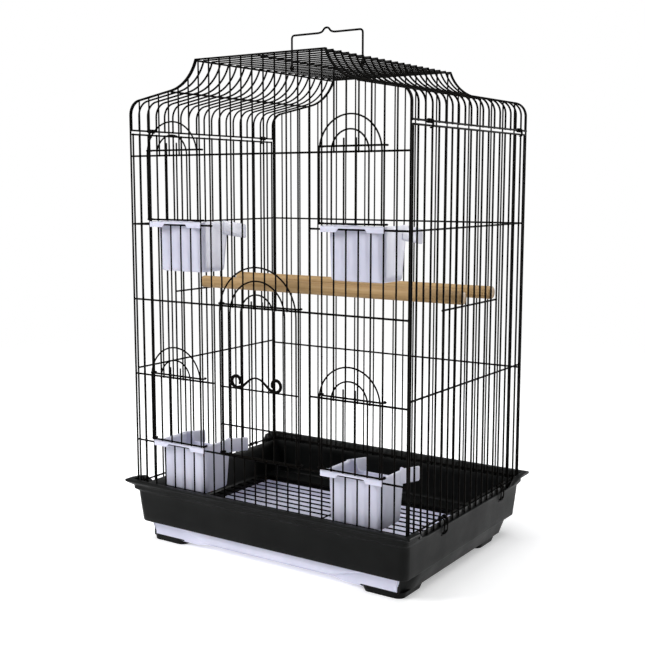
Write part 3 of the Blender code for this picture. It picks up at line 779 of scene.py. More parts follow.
# %% Profile of the tub
LEDGE_DROP = 0.0138         # the side wires stand this far under the rim
FLARE_END, FLARE_FADE = HALF_D - 0.042, 0.020   # where the flare dies away along the sides
SIDE_EDGE = 0.0031          # where the wall ends along the sides
WALL_START = 0.0008         # rings further out than this belong to the flare
TUB_PROFILE = (
    # outside x, outside y, under the rim, corner radius
    (-0.0030, -0.0014, 0.0614, 0.0110), (-0.0022, -0.0006, 0.0611, 0.0118),
    (-0.0017, -0.0001, 0.0603, 0.0120), (-0.0010, 0.0006, 0.0520, 0.0118),
    (0.0001, 0.0015, 0.0400, 0.0112), (0.0011, 0.0023, 0.0280, 0.0106),
    (0.0018, 0.0029, 0.0180, 0.0102), (0.0022, 0.0034, 0.0164, 0.0100),
    (0.0038, 0.0070, 0.0136, 0.0085), (0.0044, 0.0082, 0.0129, 0.0078),
    (0.0047, 0.0086, 0.0118, 0.0072), (0.0047, 0.0086, 0.0086, 0.0070),
    (0.0049, 0.0089, 0.0076, 0.0068), (0.0056, 0.0097, 0.0068, 0.0060),
    (0.0115, 0.0153, 0.0024, 0.0030), (0.0121, 0.0160, 0.0018, 0.0028),
    (0.0125, 0.0164, 0.0010, 0.0026), (0.0125, 0.0164, -0.0006, 0.0026),
    (0.0122, 0.0161, -0.0011, 0.0025), (0.0116, 0.0155, -0.0013, 0.0024),
    (0.0050, 0.0080, -0.0010, 0.0030), (0.0040, 0.0070, -0.0007, 0.0034),
    (0.0035, 0.0065, 0.0001, 0.0036), (0.0027, 0.0046, 0.0080, 0.0036),
    (0.0021, 0.0027, 0.0128, 0.0036), (0.0017, 0.0020, 0.0136, 0.0036),
    (0.0010, 0.0012, 0.0138, 0.0035),
    (-0.0011, -0.0011, 0.0138, 0.0050), (-0.0016, -0.0016, 0.0134, 0.0080),
    (-0.0016, -0.0016, 0.0092, 0.0090), (-0.0019, -0.0019, 0.0086, 0.0090),
    (-0.0027, -0.0027, 0.0084, 0.0090), (-0.0034, -0.0034, 0.0087, 0.0085),
    (-0.0038, -0.0038, 0.0094, 0.0080), (-0.0042, -0.0042, 0.0180, 0.0085),
    (-0.0092, -0.0078, 0.0550, 0.0110), (-0.0098, -0.0082, 0.0582, 0.0110),
    (-0.0106, -0.0088, 0.0592, 0.0100), (-0.0190, -0.0140, 0.0594, 0.0060),
    (-0.0190, -0.0140, 0.0614, 0.0060))
BACK_LEDGE = -0.0422        # the rear of the tray bay, inside the back wires
BAY_START = -0.012          # rings further in than this edge the bay
print("rings of the tub:", len(TUB_PROFILE))


def tub_ring(out_x, out_y, drop, radius):
    """One ring of the tub, sunk to the ledge along the sides."""
    back = out_y if out_y > BAY_START else BACK_LEDGE
    points = ring(-HALF_W - out_x, HALF_W + out_x, -HALF_D - out_y, HALF_D + back,
                  RIM_Z - drop, radius)
    if out_x > WALL_START and drop < LEDGE_DROP:
        along_side = 1 - ease((np.abs(points[:, 1]) - FLARE_END - out_x) / FLARE_FADE)
        on_side = along_side * (np.abs(points[:, 0]) > HALF_W)
        edge = np.sign(points[:, 0]) * (HALF_W + min(SIDE_EDGE, out_x))
        points[:, 0] += (edge - points[:, 0]) * on_side
        points[:, 2] += (RIM_Z - LEDGE_DROP - points[:, 2]) * on_side
    return points

# %% [markdown]
# The clips of the cage snap into short slots high in the side walls. A boolean cut with
# four small blocks opens them, which leaves cleaner edges than holes drawn by hand.

# %% Blocks and cuts
def block(x0, x1, y0, y1, z0, z1, radius=0.002, edge=0.0005):
    """A block whose upright corners are round and whose flat ends have a fine edge."""
    radius = min(radius, (x1 - x0) * 0.45, (y1 - y0) * 0.45)
    inner = max(radius - edge, 0.0001)
    return stack([ring(x0 + edge, x1 - edge, y0 + edge, y1 - edge, z0, inner),
                  ring(x0, x1, y0, y1, z0 + edge, radius), ring(x0, x1, y0, y1, z1 - edge, radius),
                  ring(x0 + edge, x1 - edge, y0 + edge, y1 - edge, z1, inner)])


def cut(piece, shapes):
    """Cut shapes out of a piece and keep the result as its mesh."""
    cutter = make_piece("cutter", shapes, piece.data.materials[0])
    boolean = piece.modifiers.new("cut", "BOOLEAN")
    boolean.operation, boolean.solver, boolean.object = "DIFFERENCE", "EXACT", cutter
    whole = piece.evaluated_get(bpy.context.evaluated_depsgraph_get())
    mesh = bpy.data.meshes.new_from_object(whole)
    piece.modifiers.clear()
    piece.data = mesh
    mesh.shade_smooth()
    mesh.set_sharp_from_angle(angle=math.radians(CREASE))
    bpy.data.objects.remove(cutter, do_unlink=True)
    return piece


print("faces of a block:", len(block(0, 1, 0, 1, 0, 1)[1]))

# %% [markdown]
# The rings of the profile close on themselves, so the tub is one solid wall all round and
# the bay of the tray stays open underneath.

# %% Mould the tub
CLIP_SPACES = 5.5, 15.5             # the clips, in spaces from the front
SLOT_HALF, SLOT_DEEP, SLOT_OUT = 0.0080, 0.0012, 0.006
SLOT_LOW, SLOT_HIGH = RIM_Z - 0.0265, RIM_Z - 0.0212


def tub():
    """The tub with a slot for each clip."""
    slots = []
    for side in (-1, 1):
        for space in CLIP_SPACES:
            x0, x1 = sorted((side * (HALF_W - SLOT_DEEP), side * (HALF_W + SLOT_OUT)))
            y = side_y(space)
            slots.append(block(x0, x1, y - SLOT_HALF, y + SLOT_HALF, SLOT_LOW, SLOT_HIGH,
                               0.0020, 0.0004))
    shell = stack([tub_ring(*line) for line in TUB_PROFILE], endless=True)
    settle(cut(make_piece("base_tub", [shell], moulding), slots), "cage", "base_tub")


tub()

# %% [markdown]
# ## Housing of the tray
# Under the tub hangs the housing that the tray slides into: two side walls, a rear wall
# and a floor, open at the front, on four low feet. The side walls lean in towards the
# floor and curve in at the front, so that they meet the ends of the tray. In the middle
# the floor starts further back, which leaves room for fingers under the tray's grip.

# %% Walls and feet of the housing
BAY_HALF = 0.2032                   # half the space that the tray slides in
HOUSING_TOP_HALF, HOUSING_LOW_HALF = 0.2196, 0.2108
FRONT_TOP_WALL, FRONT_LOW_WALL = 0.0016, 0.0012     # how thick the side walls are at the front
HOUSING_CURVE = 0.030               # the side walls curve in over this length
HOUSING_FRONT, HOUSING_BACK = -HALF_D + 0.0124, -HALF_D + 0.2937
HOUSING_REAR = -HALF_D + 0.2975
HOUSING_TOP = RIM_Z - 0.0600
HOUSING_BOTTOM = FLOOR_Z - 0.0020
HOUSING_WALL, HOUSING_EDGE = 0.0030, 0.0008
FOOT_INNER, FOOT_OUTER = 0.1460, 0.2100
FOOT_ROWS = (
    # height, draft, corner radius
    (0, 0.0042, 0.0100), (0.0008, 0.0034, 0.0110), (FLOOR_Z - 0.0012, 0.0004, 0.0120))
FOOT_SPANS = (0.0125, 0.0760), (0.2330, 0.2930)     # front and rear end, from the front wires


def foot(side, front, rear):
    """A low foot under a corner, nearly upright outside and sloping at its other sides."""
    rows = []
    for z, draft, radius in FOOT_ROWS:
        x0, x1 = sorted((side * (FOOT_INNER + draft), side * (FOOT_OUTER - draft * 0.4)))
        rows.append(ring(x0, x1, front + draft * 0.3, rear - draft * 1.6, z, radius))
    return stack(rows)


def housing_side(side, steps=20):
    """A side wall of the housing, which curves in towards its front end."""
    sections = []
    for step in range(steps + 1):
        share = (step / steps) ** 2
        y = HOUSING_FRONT + (HOUSING_REAR - HOUSING_FRONT) * share
        turn = float(ease((y - HOUSING_FRONT) / HOUSING_CURVE))
        top = BAY_HALF + FRONT_TOP_WALL + (HOUSING_TOP_HALF - BAY_HALF - FRONT_TOP_WALL) * turn
        low = BAY_HALF + FRONT_LOW_WALL + (HOUSING_LOW_HALF - BAY_HALF - FRONT_LOW_WALL) * turn
        profile = [(BAY_HALF, HOUSING_BOTTOM), (low - HOUSING_EDGE, HOUSING_BOTTOM),
                   (low, HOUSING_BOTTOM + HOUSING_EDGE), (top, HOUSING_TOP),
                   (BAY_HALF, HOUSING_TOP)]
        sections.append(np.array([(side * x, y, z) for x, z in profile]))
    return stack(sections)


print("housing", round(HOUSING_REAR - HOUSING_FRONT, 4), "deep, feet", round(FLOOR_Z, 4), "high")

# %% [markdown]
# The housing is a handful of blocks that overlap a little, as the ribs of a moulding run
# into each other. Joining them in one skin would only cost time: the seams are hidden.

# %% Put the housing together
FINGER_HALF, FINGER_DEPTH = 0.1465, 0.036   # where the floor leaves room under the tray's grip
FLOOR_CORNER = 0.004


def housing():
    """Floor, walls and feet."""
    shapes = [block(-BAY_HALF - 0.0020, BAY_HALF + 0.0020, HOUSING_FRONT + FINGER_DEPTH,
                    HOUSING_REAR - 0.0004, HOUSING_BOTTOM, FLOOR_Z, FLOOR_CORNER, HOUSING_EDGE)]
    for side in (-1, 1):
        x0, x1 = sorted((side * FINGER_HALF, side * (BAY_HALF + HOUSING_EDGE)))
        shapes.append(block(x0, x1, HOUSING_FRONT, HOUSING_FRONT + FINGER_DEPTH + FLOOR_CORNER,
                            HOUSING_BOTTOM, FLOOR_Z, FLOOR_CORNER, HOUSING_EDGE))
        shapes.append(housing_side(side))
    shapes.append(block(-HOUSING_LOW_HALF, HOUSING_LOW_HALF, HOUSING_REAR - HOUSING_WALL,
                        HOUSING_REAR, HOUSING_BOTTOM, HOUSING_TOP, 0.0012))
    for side in (-1, 1):
        for front, rear in FOOT_SPANS:
            shapes.append(foot(side, -HALF_D + front, -HALF_D + rear))
    piece = make_piece("tray_housing", shapes, moulding)
    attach(piece, "cage")
    print(piece.name, len(piece.data.polygons), "faces")


housing()

# %% [markdown]
# ## The slide-out tray
# The tray is a shallow pan with a taller front that closes the housing. A raised band
# runs along the top of that front. Towards the middle the band widens downwards, and the
# lower edge rises there so that fingers can get under it. The front is drawn as many
# narrow sections from end to end, and one smooth line, the lower edge of the band, says
# where each section steps back.

# %% Edges of the tray's front
TRAY_FRONT = HOUSING_FRONT - 0.0035
TRAY_TOP = RIM_Z - 0.0620
LOW_EDGE, GRIP_RISE = 0.0846, 0.0046    # depth of the lower edge, and its rise in the middle
BAND_DEPTH, BAND_SWELL = 0.0628, 0.0136     # depth of the band's edge, and its growth there
GRIP_START, GRIP_END = 0.131, 0.100
BAND_START, BAND_END = 0.168, 0.094


def lower_edge(x):
    """Depth under the rim of the front's lower edge, less in the middle."""
    return LOW_EDGE - GRIP_RISE * float(ease((GRIP_START - abs(x)) / (GRIP_START - GRIP_END)))


def band_edge(x):
    """Depth under the rim of the raised band's lower edge."""
    return BAND_DEPTH + BAND_SWELL * float(ease((BAND_START - abs(x)) / (BAND_START - BAND_END)))


print("lower edge under the rim:", round(lower_edge(BAND_START), 4), "at the ends and",
      round(lower_edge(0), 4), "in the middle")

# %% [markdown]
# A section is the outline that a saw cut through the front would show: a thin top edge,
# the band, a soft step back, the face and the lower edge. Each has the same number of
# points, so that neighbouring sections join up.

# %% Sections of the tray's front
FRONT_HALF = 0.2066                     # at the top; the ends draw in below it
FRONT_INSET, INSET_HEIGHT = 0.0048, 0.0068
FRONT_THICK = 0.0072
SETBACK, SLOPE_HEIGHT = 0.0044, 0.0038  # how far the face lies behind the band, and over what
SETBACK_CURVE = (0.10, 0.04), (0.35, 0.22), (0.65, 0.60), (0.88, 0.86), (0.97, 1.0)


def front_section(x):
    """One section through the tray's front, as a closed line of (x, y, z)."""
    top, low, fold = TRAY_TOP, RIM_Z - lower_edge(x), RIM_Z - band_edge(x)
    back = TRAY_FRONT + FRONT_THICK
    line = [(back, top - 0.0004), (back - 0.0004, top), (TRAY_FRONT + 0.0006, top),
            (TRAY_FRONT + 0.0001, top - 0.0003), (TRAY_FRONT, top - 0.0006)]
    line += [(TRAY_FRONT, top - 0.0006 - (top - 0.0006 - fold) * share) for share in (0.5, 1.0)]
    line += [(TRAY_FRONT + SETBACK * share, fold - SLOPE_HEIGHT * drop)
             for drop, share in SETBACK_CURVE]
    foot_z = fold - SLOPE_HEIGHT
    line += [(TRAY_FRONT + SETBACK, foot_z - (foot_z - low) * share)
             for share in (0.3, 0.65, 0.95)]
    line += [(TRAY_FRONT + SETBACK + 0.0008, low), (back - 0.0003, low), (back, low + 0.0004)]
    lift = [low + 0.0002 * (len(line) - place) for place in range(len(line))]
    return [(x, y, max(z, lift[place]) if z > low else z) for place, (y, z) in enumerate(line)]


def tray_front(columns=180):
    """The tall front of the tray, whose ends draw in under its top."""
    sections = []
    for column in range(columns + 1):
        x = -FRONT_HALF + 2 * FRONT_HALF * column / columns
        section = np.array(front_section(x))
        inset = FRONT_INSET * ease((TRAY_TOP - section[:, 2]) / INSET_HEIGHT)
        section[:, 0] *= 1 - inset / FRONT_HALF
        beside_bay = np.abs(section[:, 0]) > BAY_HALF - 0.0010
        section[beside_bay, 1] = np.minimum(section[beside_bay, 1], HOUSING_FRONT - 0.0002)
        sections.append(section)
    ends = []
    for section, way in ((sections[0], 1), (sections[-1], -1)):
        middle = section.mean(0)
        ends.append(middle + (section - middle) * (1, 0.80, 0.965))
        section[:, 0] += way * 0.0004
    return stack([ends[0]] + sections + [ends[1]])


print("points in a section:", len(front_section(0)))

# %% [markdown]
# The pan behind the front is a plain low box with rounded corners. It is stacked from
# rings, outside first, over the edge and down the inside.

# %% Pan of the tray
PAN_HALF, PAN_WALL = 0.2020, 0.0018
PAN_TOP = RIM_Z - 0.0665
TRAY_CREASE = 30            # degrees; its band is a gentler edge than most


def tray():
    """Pan and front of the tray in one piece."""
    half, wall, top = PAN_HALF, PAN_WALL, PAN_TOP
    floor = FLOOR_Z + 0.0003
    front, back = TRAY_FRONT + 0.0050, HOUSING_BACK - 0.0045

    def level(inset, z, radius):
        return ring(-half + inset, half - inset, front + inset, back - inset, z, radius)

    pan = stack([level(0.0016, floor, 0.003), level(0.0004, floor + 0.0004, 0.004),
                 level(0, floor + 0.0016, 0.004), level(0, top - 0.0004, 0.004),
                 level(0.0004, top, 0.004), level(wall - 0.0004, top, 0.003),
                 level(wall, top - 0.0004, 0.003), level(wall + 0.0004, floor + 0.0040, 0.003),
                 level(wall + 0.0012, floor + 0.0024, 0.003),
                 level(wall + 0.0026, floor + 0.0018, 0.003)])
    settle(make_piece("slide_tray", [pan, tray_front()], pale, TRAY_CREASE), "slide_tray",
           "slide_tray")


tray()

# %% [markdown]
# ## Feeding cups
# A cup hangs behind the front wires. Its lip folds over the sill of the opening and ends
# in two tabs. Two strips stand out at the back of its side walls and slope down a
# little. The walls have shallow flutes, which make thin plastic stiff, and the rear wall
# is low so that a bird reaches the seed. The flutes are soft waves on the straight parts
# of each ring, which is quicker than modelling every groove.

# %% Walls of a cup
CUP_RIM = 0.0045
FRONT_FLUTES, SIDE_FLUTES = 4, 3
CUP_PROFILE = (
    # half width, front, rear, height over the sill, corner radius, depth of flutes
    (0.0340, 0.0145, 0.0540, -0.0645, 0.004, 0), (0.0368, 0.0117, 0.0568, -0.0642, 0.006, 0),
    (0.0387, 0.0101, 0.0587, -0.0630, 0.007, 0), (0.0398, 0.0092, 0.0597, -0.0605, 0.008, 0.3),
    (0.0401, 0.0090, 0.0601, -0.0560, 0.008, 1), (0.0404, 0.0086, 0.0620, -0.0400, 0.008, 1),
    (0.0408, 0.0080, 0.0644, -0.0200, 0.008, 1), (0.0410, 0.0077, 0.0660, -0.0090, 0.008, 1),
    (0.0411, 0.0076, 0.0666, -0.0030, 0.008, 0.4), (0.0412, 0.0075, 0.0669, 0.0005, 0.008, 0),
    (0.0412, 0.0075, 0.0670, 0.0036, 0.008, 0), (0.0409, 0.0078, 0.0667, 0.0044, 0.008, 0),
    (0.0405, 0.0083, 0.0662, 0.0045, 0.008, 0), (0.0399, 0.0088, 0.0657, 0.0043, 0.007, 0),
    (0.0396, 0.0091, 0.0654, 0.0036, 0.007, 0), (0.0394, 0.0093, 0.0652, 0.0000, 0.007, 0),
    (0.0391, 0.0099, 0.0626, -0.0240, 0.007, 0.7), (0.0385, 0.0106, 0.0586, -0.0580, 0.006, 0.7),
    (0.0374, 0.0113, 0.0576, -0.0612, 0.006, 0), (0.0354, 0.0132, 0.0557, -0.0625, 0.005, 0))
FLUTE_DEPTH = 0.0004
LOW_REAR, LOW_START = -0.0095, -0.0250  # top of the rear wall, and where the walls start to sink
LOW_HALF, LOW_FADE = 0.0335, 0.0035     # half the width of that low part, and its curved ends
INSIDE_FLAT = 1e-6                      # keeps the waves off the corners
print("rings of a cup:", len(CUP_PROFILE))


def cup_ring(centre_x, sill, half, front, rear, height, radius, flute):
    """One ring of a cup, with its flutes and its low rear wall."""
    points = ring(-half, half, front, rear, height, radius)
    flat_x, flat_y = half - radius, (rear - front) / 2 - radius
    middle = (front + rear) / 2
    on_front = np.abs(points[:, 0]) < flat_x - INSIDE_FLAT
    wave_x = 0.5 - 0.5 * np.cos(math.tau * FRONT_FLUTES * (points[:, 0] / flat_x + 1) / 2)
    wave_y = 0.5 - 0.5 * np.cos(math.tau * SIDE_FLUTES * ((points[:, 1] - middle) / flat_y + 1) / 2)
    inward = -np.sign(points[:, 1] - middle) * wave_x * on_front
    points[:, 1] += inward * flute * FLUTE_DEPTH
    on_side = np.abs(points[:, 1] - middle) < flat_y - INSIDE_FLAT
    points[:, 0] -= np.sign(points[:, 0]) * wave_y * flute * FLUTE_DEPTH * on_side
    if height > LOW_START:
        share = (height - LOW_START) / (CUP_RIM - LOW_START)
        lowered = LOW_START + share * (LOW_REAR - LOW_START)
        at_rear = (points[:, 1] > middle) * ease((LOW_HALF - np.abs(points[:, 0])) / LOW_FADE)
        points[:, 2] += (lowered - height) * at_rear
    return points + (centre_x, -HALF_D, sill)

# %% [markdown]
# The lip is what holds a cup: a bridge lies over the sill wire and a tab hangs down in
# front of it. It is drawn as sections from left to right. The tab has a wide notch in
# its lower edge, and only the tabs reach past the walls.

# %% Lip of a cup
TAB_HALF, BRIDGE_HALF = 0.0455, 0.0424
NOTCH_TOP, NOTCH_MOUTH = 0.0185, 0.0232     # half widths of the notch in the tabs' lower edge
TAB_LOW, NOTCH_RISE = -0.0034, 0.0046
BRIDGE_REAR, TAB_REAR = 0.0086, -0.0010


def lip_section(x):
    """A section through the lip: the bridge over the sill and the tab before it."""
    low = TAB_LOW + NOTCH_RISE * float(ease((NOTCH_MOUTH - abs(x)) / (NOTCH_MOUTH - NOTCH_TOP)))
    rear = BRIDGE_REAR if abs(x) <= BRIDGE_HALF else TAB_REAR
    line = [(rear, 0.0031), (TAB_REAR, 0.0031), (-0.0013, 0.0026), (-0.0014, low + 0.0003),
            (-0.0016, low), (-0.0021, low), (-0.0024, low + 0.0003), (-0.0024, 0.0037),
            (-0.0021, 0.0043), (-0.0014, CUP_RIM), (rear, CUP_RIM)]
    return np.array([(x, y, z) for y, z in line])


def cup_lip():
    """The whole lip from tab to tab."""
    places = [-TAB_HALF, -TAB_HALF + 0.0003, -0.0430, -BRIDGE_HALF]
    places += [-0.0400, -0.0320, -0.0250]
    places += list(np.linspace(-NOTCH_MOUTH, -NOTCH_TOP, 7)) + [-0.0100]
    places += [0] + [-x for x in reversed(places)]
    sections = [lip_section(x) for x in places]
    for end in (0, -1):
        middle = sections[end].mean(0)
        sections[end] = middle + (sections[end] - middle) * (1, 0.7, 0.93)
    return stack(sections)


print("lip from", -TAB_HALF, "to", TAB_HALF)

# %% [markdown]
# A strip is a rounded rectangle given a thickness. Its outer layers are slightly smaller,
# which rounds its edges without a bevel.

# %% Strips behind a cup
STRIP_X, STRIP_THICK = 0.0406, 0.0016
STRIP_FRONT, STRIP_REAR = 0.0520, 0.1030
STRIP_LOW, STRIP_HIGH, STRIP_CORNER = -0.0138, 0.0058, 0.0030
STRIP_FALL = 0.14           # the strips slope down to the rear by this much of their length
STRIP_LAYERS = (-0.5, 0.97, 0.93), (-0.36, 1, 1), (0.36, 1, 1), (0.5, 0.97, 0.93)


def strip(side):
    """A flat strip with rounded corners, standing on edge."""
    outline = ring(STRIP_FRONT, STRIP_REAR, STRIP_LOW, STRIP_HIGH, 0, STRIP_CORNER)
    outline[:, 1] -= STRIP_FALL * (outline[:, 0] - STRIP_FRONT)
    middle = outline.mean(0)
    rings = []
    for place, wide, tall in STRIP_LAYERS:
        flat = middle + (outline - middle) * (wide, tall, 1)
        x = np.full(len(flat), side * STRIP_X + place * STRIP_THICK)
        rings.append(np.column_stack([x, flat[:, 0], flat[:, 1]]))
    return stack(rings)


print("a strip is", round(STRIP_REAR - STRIP_FRONT, 4), "long")

# %% [markdown]
# All four cups come from one mould. Each is placed by the middle of its opening and the
# height of its sill.

# %% Hang the four cups
CUP_CREASE = 32


def feed_cup(name, centre_x, sill):
    """Walls, lip and strips of one cup."""
    walls = stack([cup_ring(centre_x, sill, *line) for line in CUP_PROFILE])
    shapes = [walls]
    for corners, patches in (cup_lip(), strip(-1), strip(1)):
        shapes.append((corners + (centre_x, -HALF_D, sill), patches))
    settle(make_piece(name, shapes, pale, CUP_CREASE), name, name)


CUP_X = abs(front_x(sum(CUP_WIRES) / 2))
for side_name, side in (("left", -1), ("right", 1)):
    feed_cup("feed_cup_lower_" + side_name, side * CUP_X, LOWER_SILL)
    feed_cup("feed_cup_upper_" + side_name, side * CUP_X, UPPER_SILL)

# %% [markdown]
# ## Perches
# A perch is turned on a lathe, so it is a profile spun round its length. Its two ends are
# chamfered, and hand sanding leaves it a hair thicker in some places than in others.

# %% Turn the perches
PERCH_RADIUS = 0.0089
PERCH_SIDES, PERCH_STEPS = 32, 40
END_PROFILE = (0, 0.80), (0.0004, 0.90), (0.0014, 0.985)    # from the end, and share of the radius
EVEN_PART, WAVE, WAVES = 0.993, 0.005, 23   # width, unevenness, and its turns in radians a metre


def perch(name, thin_phase):
    """A dowel on its two rests, spun from a list of rings."""
    low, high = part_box(name)
    half, y, z = (high.x - low.x) / 2, (low.y + high.y) / 2, (low.z + high.z) / 2
    places = [(-half + inset, width) for inset, width in END_PROFILE]
    ends = [(-x, width) for x, width in reversed(places)]
    places += [(x, EVEN_PART + WAVE * math.sin(WAVES * x + thin_phase)) for x in
               np.linspace(-half + 0.0035, half - 0.0035, PERCH_STEPS)]
    places += ends
    turns = np.arange(PERCH_SIDES) * math.tau / PERCH_SIDES
    rings = [np.column_stack([np.full(PERCH_SIDES, x), y + PERCH_RADIUS * width * np.cos(turns),
                              z + PERCH_RADIUS * width * np.sin(turns)]) for x, width in places]
    settle(make_piece(name, [stack(rings)], beech), "cage", name)


perch("perch_front", 0.4)
perch("perch_rear", 2.1)

# %% [markdown]
# ## Floor grate
# The grate keeps the birds off the litter. Its bars rest on the ledges of the tub, three
# ties under them hold them together, and a small loop in the middle is there to lift it
# by. The loop stands up on one bar and bends over to the second one behind it.

# %% Weave the grate
GRATE_BARS = range(1, 17)   # the bars, in spaces from the front
BAR_SHIFT, TIE_INSET = 0.001, 0.0090
LOOP_BARS = 4, 6
LOOP_X, LOOP_RISE, LOOP_BEND = 0.0016, 0.0070, 0.006


def grate():
    """Bars, ties and the lifting loop."""
    low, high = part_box("floor_grate")
    ties = high.x - TIE_INSET
    places = [side_y(index) + BAR_SHIFT for index in GRATE_BARS]
    lines = [[(low.x, y, GRATE_Z), (high.x, y, GRATE_Z)] for y in places]
    lines += [[(x, low.y, GRATE_Z - WELD), (x, high.y, GRATE_Z - WELD)] for x in (-ties, 0, ties)]
    start, end = (side_y(index) + BAR_SHIFT for index in LOOP_BARS)
    top = GRATE_Z + LOOP_RISE
    lines.append(bent([(LOOP_X, start, GRATE_Z), (LOOP_X, start, top), (LOOP_X, end, top),
                       (LOOP_X, end, GRATE_Z)], LOOP_BEND))
    shapes = [sweep(line) for line in lines]
    settle(make_piece("floor_grate", shapes, enamel), "cage", "floor_grate")


grate()

# %% [markdown]
# ## Clips and latches
# Springy little wires hold the cage together. A base clip is wound a few turns on the
# bottom rail of a side and its loop snaps into a slot of the tub. A roof latch is wound on
# the lower wire of the roof and hooks under the top wire of the side. Winding is a spiral,
# so each of them is one long line: spiral, leg, bend, leg, spiral.

# %% Wind a wire on a rail
THIN_WIRE = 0.0009
COIL_R = WIRE + THIN_WIRE + 0.0001
COIL_STEP = 0.0015          # the coil grows by this along the rail in each turn
COIL_POINTS = 14            # points in a turn
LEG_BEND = 0.0022


def coil(x, z, y0, y1, toward):
    """A spiral on a rail along Y that ends on the side that toward says."""
    turns = abs(y1 - y0) / COIL_STEP
    steps = max(8, int(turns * COIL_POINTS))
    line = []
    for step in range(steps + 1):
        share = step / steps
        turn = math.tau * turns * (1 - share)
        line.append((x + toward * COIL_R * math.cos(turn), y0 + (y1 - y0) * share,
                     z + COIL_R * math.sin(turn)))
    return line


def wound(x, y, z, side, legs, half, gap):
    """A wire wound on a rail, with two legs that meet in a bend."""
    first = coil(x, z, y - half, y - gap, side)
    down = [(x + side * reach, y - gap, z - drop) for reach, drop in legs]
    second = [(px, 2 * y - py, pz) for px, py, pz in reversed(first)]
    up = [(px, 2 * y - py, pz) for px, py, pz in reversed(down)]
    legs_line = bent([first[-1]] + down + up + [second[0]], LEG_BEND, 5)
    return first[:-1] + legs_line[1:-1] + second[1:]


print("radius of a winding:", round(COIL_R, 4))

# %% [markdown]
# Legs are given as steps away from the rail and down from it. Left and right pieces are
# mirrored, and the front and rear ones are the same.

# %% Clips and latches
BASE_LEGS = (0.0058, 0.0010), (0.0064, 0.0040), (0.0056, 0.0185), (0.0028, 0.0198)
LATCH_LEGS = (0.0034, 0.0004), (0.0040, 0.0062), (0.0026, 0.0081), (0.0004, 0.0080)
LATCH_SPACES = 2.5, 17.5
BASE_HALF, BASE_GAP = 0.0071, 0.0042        # where a winding starts and ends, from the middle
LATCH_HALF, LATCH_GAP = 0.0058, 0.0012

for side_name, side in (("left", -1), ("right", 1)):
    for row, clip_space, latch_space in zip(("front", "rear"), CLIP_SPACES, LATCH_SPACES):
        name = f"base_clip_{side_name}_{row}"
        line = wound(side * (HALF_W - WELD), side_y(clip_space), BOTTOM_RAIL, side, BASE_LEGS,
                     BASE_HALF, BASE_GAP)
        settle(make_piece(name, [sweep(line, THIN_WIRE, 8)], enamel), name, name)
        name = f"roof_latch_{side_name}_{row}"
        line = wound(side * (HALF_W + WELD), side_y(latch_space), ROOF_FOOT, side, LATCH_LEGS,
                     LATCH_HALF, LATCH_GAP)
        settle(make_piece(name, [sweep(line, THIN_WIRE, 8)], enamel), name, name)

# %% [markdown]
# ## Handle
# The handle is one bent wire with a small peak in its middle. Each end curls into an eye
# round a roof wire, so that the handle can fall to either side.

# %% Bend the handle
HANDLE_WIRE = 0.0014
HANDLE_EYE, EYE_STEPS = 0.0029, 24
HANDLE_HALF, HANDLE_RISE = 0.0588, 0.0450
HANDLE_SPACE = 9            # the roof wire that carries it
HANDLE_BEND = 0.0050
PEAK_BEND = (-0.0125, 0), (-0.0070, 0.0014), (-0.0030, 0.0066)  # half of the peak


def handle():
    """Bail and eyes."""
    y = side_y(HANDLE_SPACE)
    rise, eye = ROOF_TOP + HANDLE_RISE, HANDLE_EYE
    half_bow = [(-HANDLE_HALF, y, ROOF_TOP + eye - 0.0004), (-HANDLE_HALF, y, rise)]
    half_bow += [(x, y, rise + up) for x, up in PEAK_BEND]
    bow = bent(half_bow + [(-x, y, z) for x, _, z in reversed(half_bow)], HANDLE_BEND, 7)
    shapes = [sweep(bow, HANDLE_WIRE, 10)]
    turns = [math.tau * step / EYE_STEPS for step in range(EYE_STEPS + 1)]
    for side in (-1, 1):
        ring_line = [(side * HANDLE_HALF, y + eye * math.sin(turn), ROOF_TOP + eye * math.cos(turn))
                     for turn in turns]
        shapes.append(sweep(ring_line, HANDLE_WIRE, 10))
    settle(make_piece("carry_handle", shapes, enamel), "carry_handle", "carry_handle")


handle()

# %% [markdown]
# ## Camera
# The cage is seen from its front right corner, from a little above the middle, with a
# lens that is slightly long. A camera looks along its own -Z, so its turn about Z comes
# from the place on the floor that it faces and its tilt from how far it looks down.

# %% Set up the camera
CAMERA_PLACE = 0.8203, -1.2396, 0.5120
CAMERA_TURN, CAMERA_DOWN = 33.90, 7.468
camera = bpy.data.objects.new("camera", bpy.data.cameras.new("camera"))
camera.data.lens, camera.data.sensor_width = 58.2, 36
camera.location = CAMERA_PLACE
camera.rotation_euler = math.radians(90 - CAMERA_DOWN), 0, math.radians(CAMERA_TURN)
bpy.context.scene.collection.objects.link(camera)
bpy.context.scene.camera = camera
print("camera", CAMERA_PLACE)

# %% [markdown]
# ## Light
# A soft studio with a white backdrop. An even glow from all round fills the shadows. A
# key light over the front left shapes the cups, and a wide light overhead brings out the
# roof and the floor. A panel at the right rear draws a sheen on the black side wall: it
# only shows in reflections, so it doesn't wash out the pale plastic.

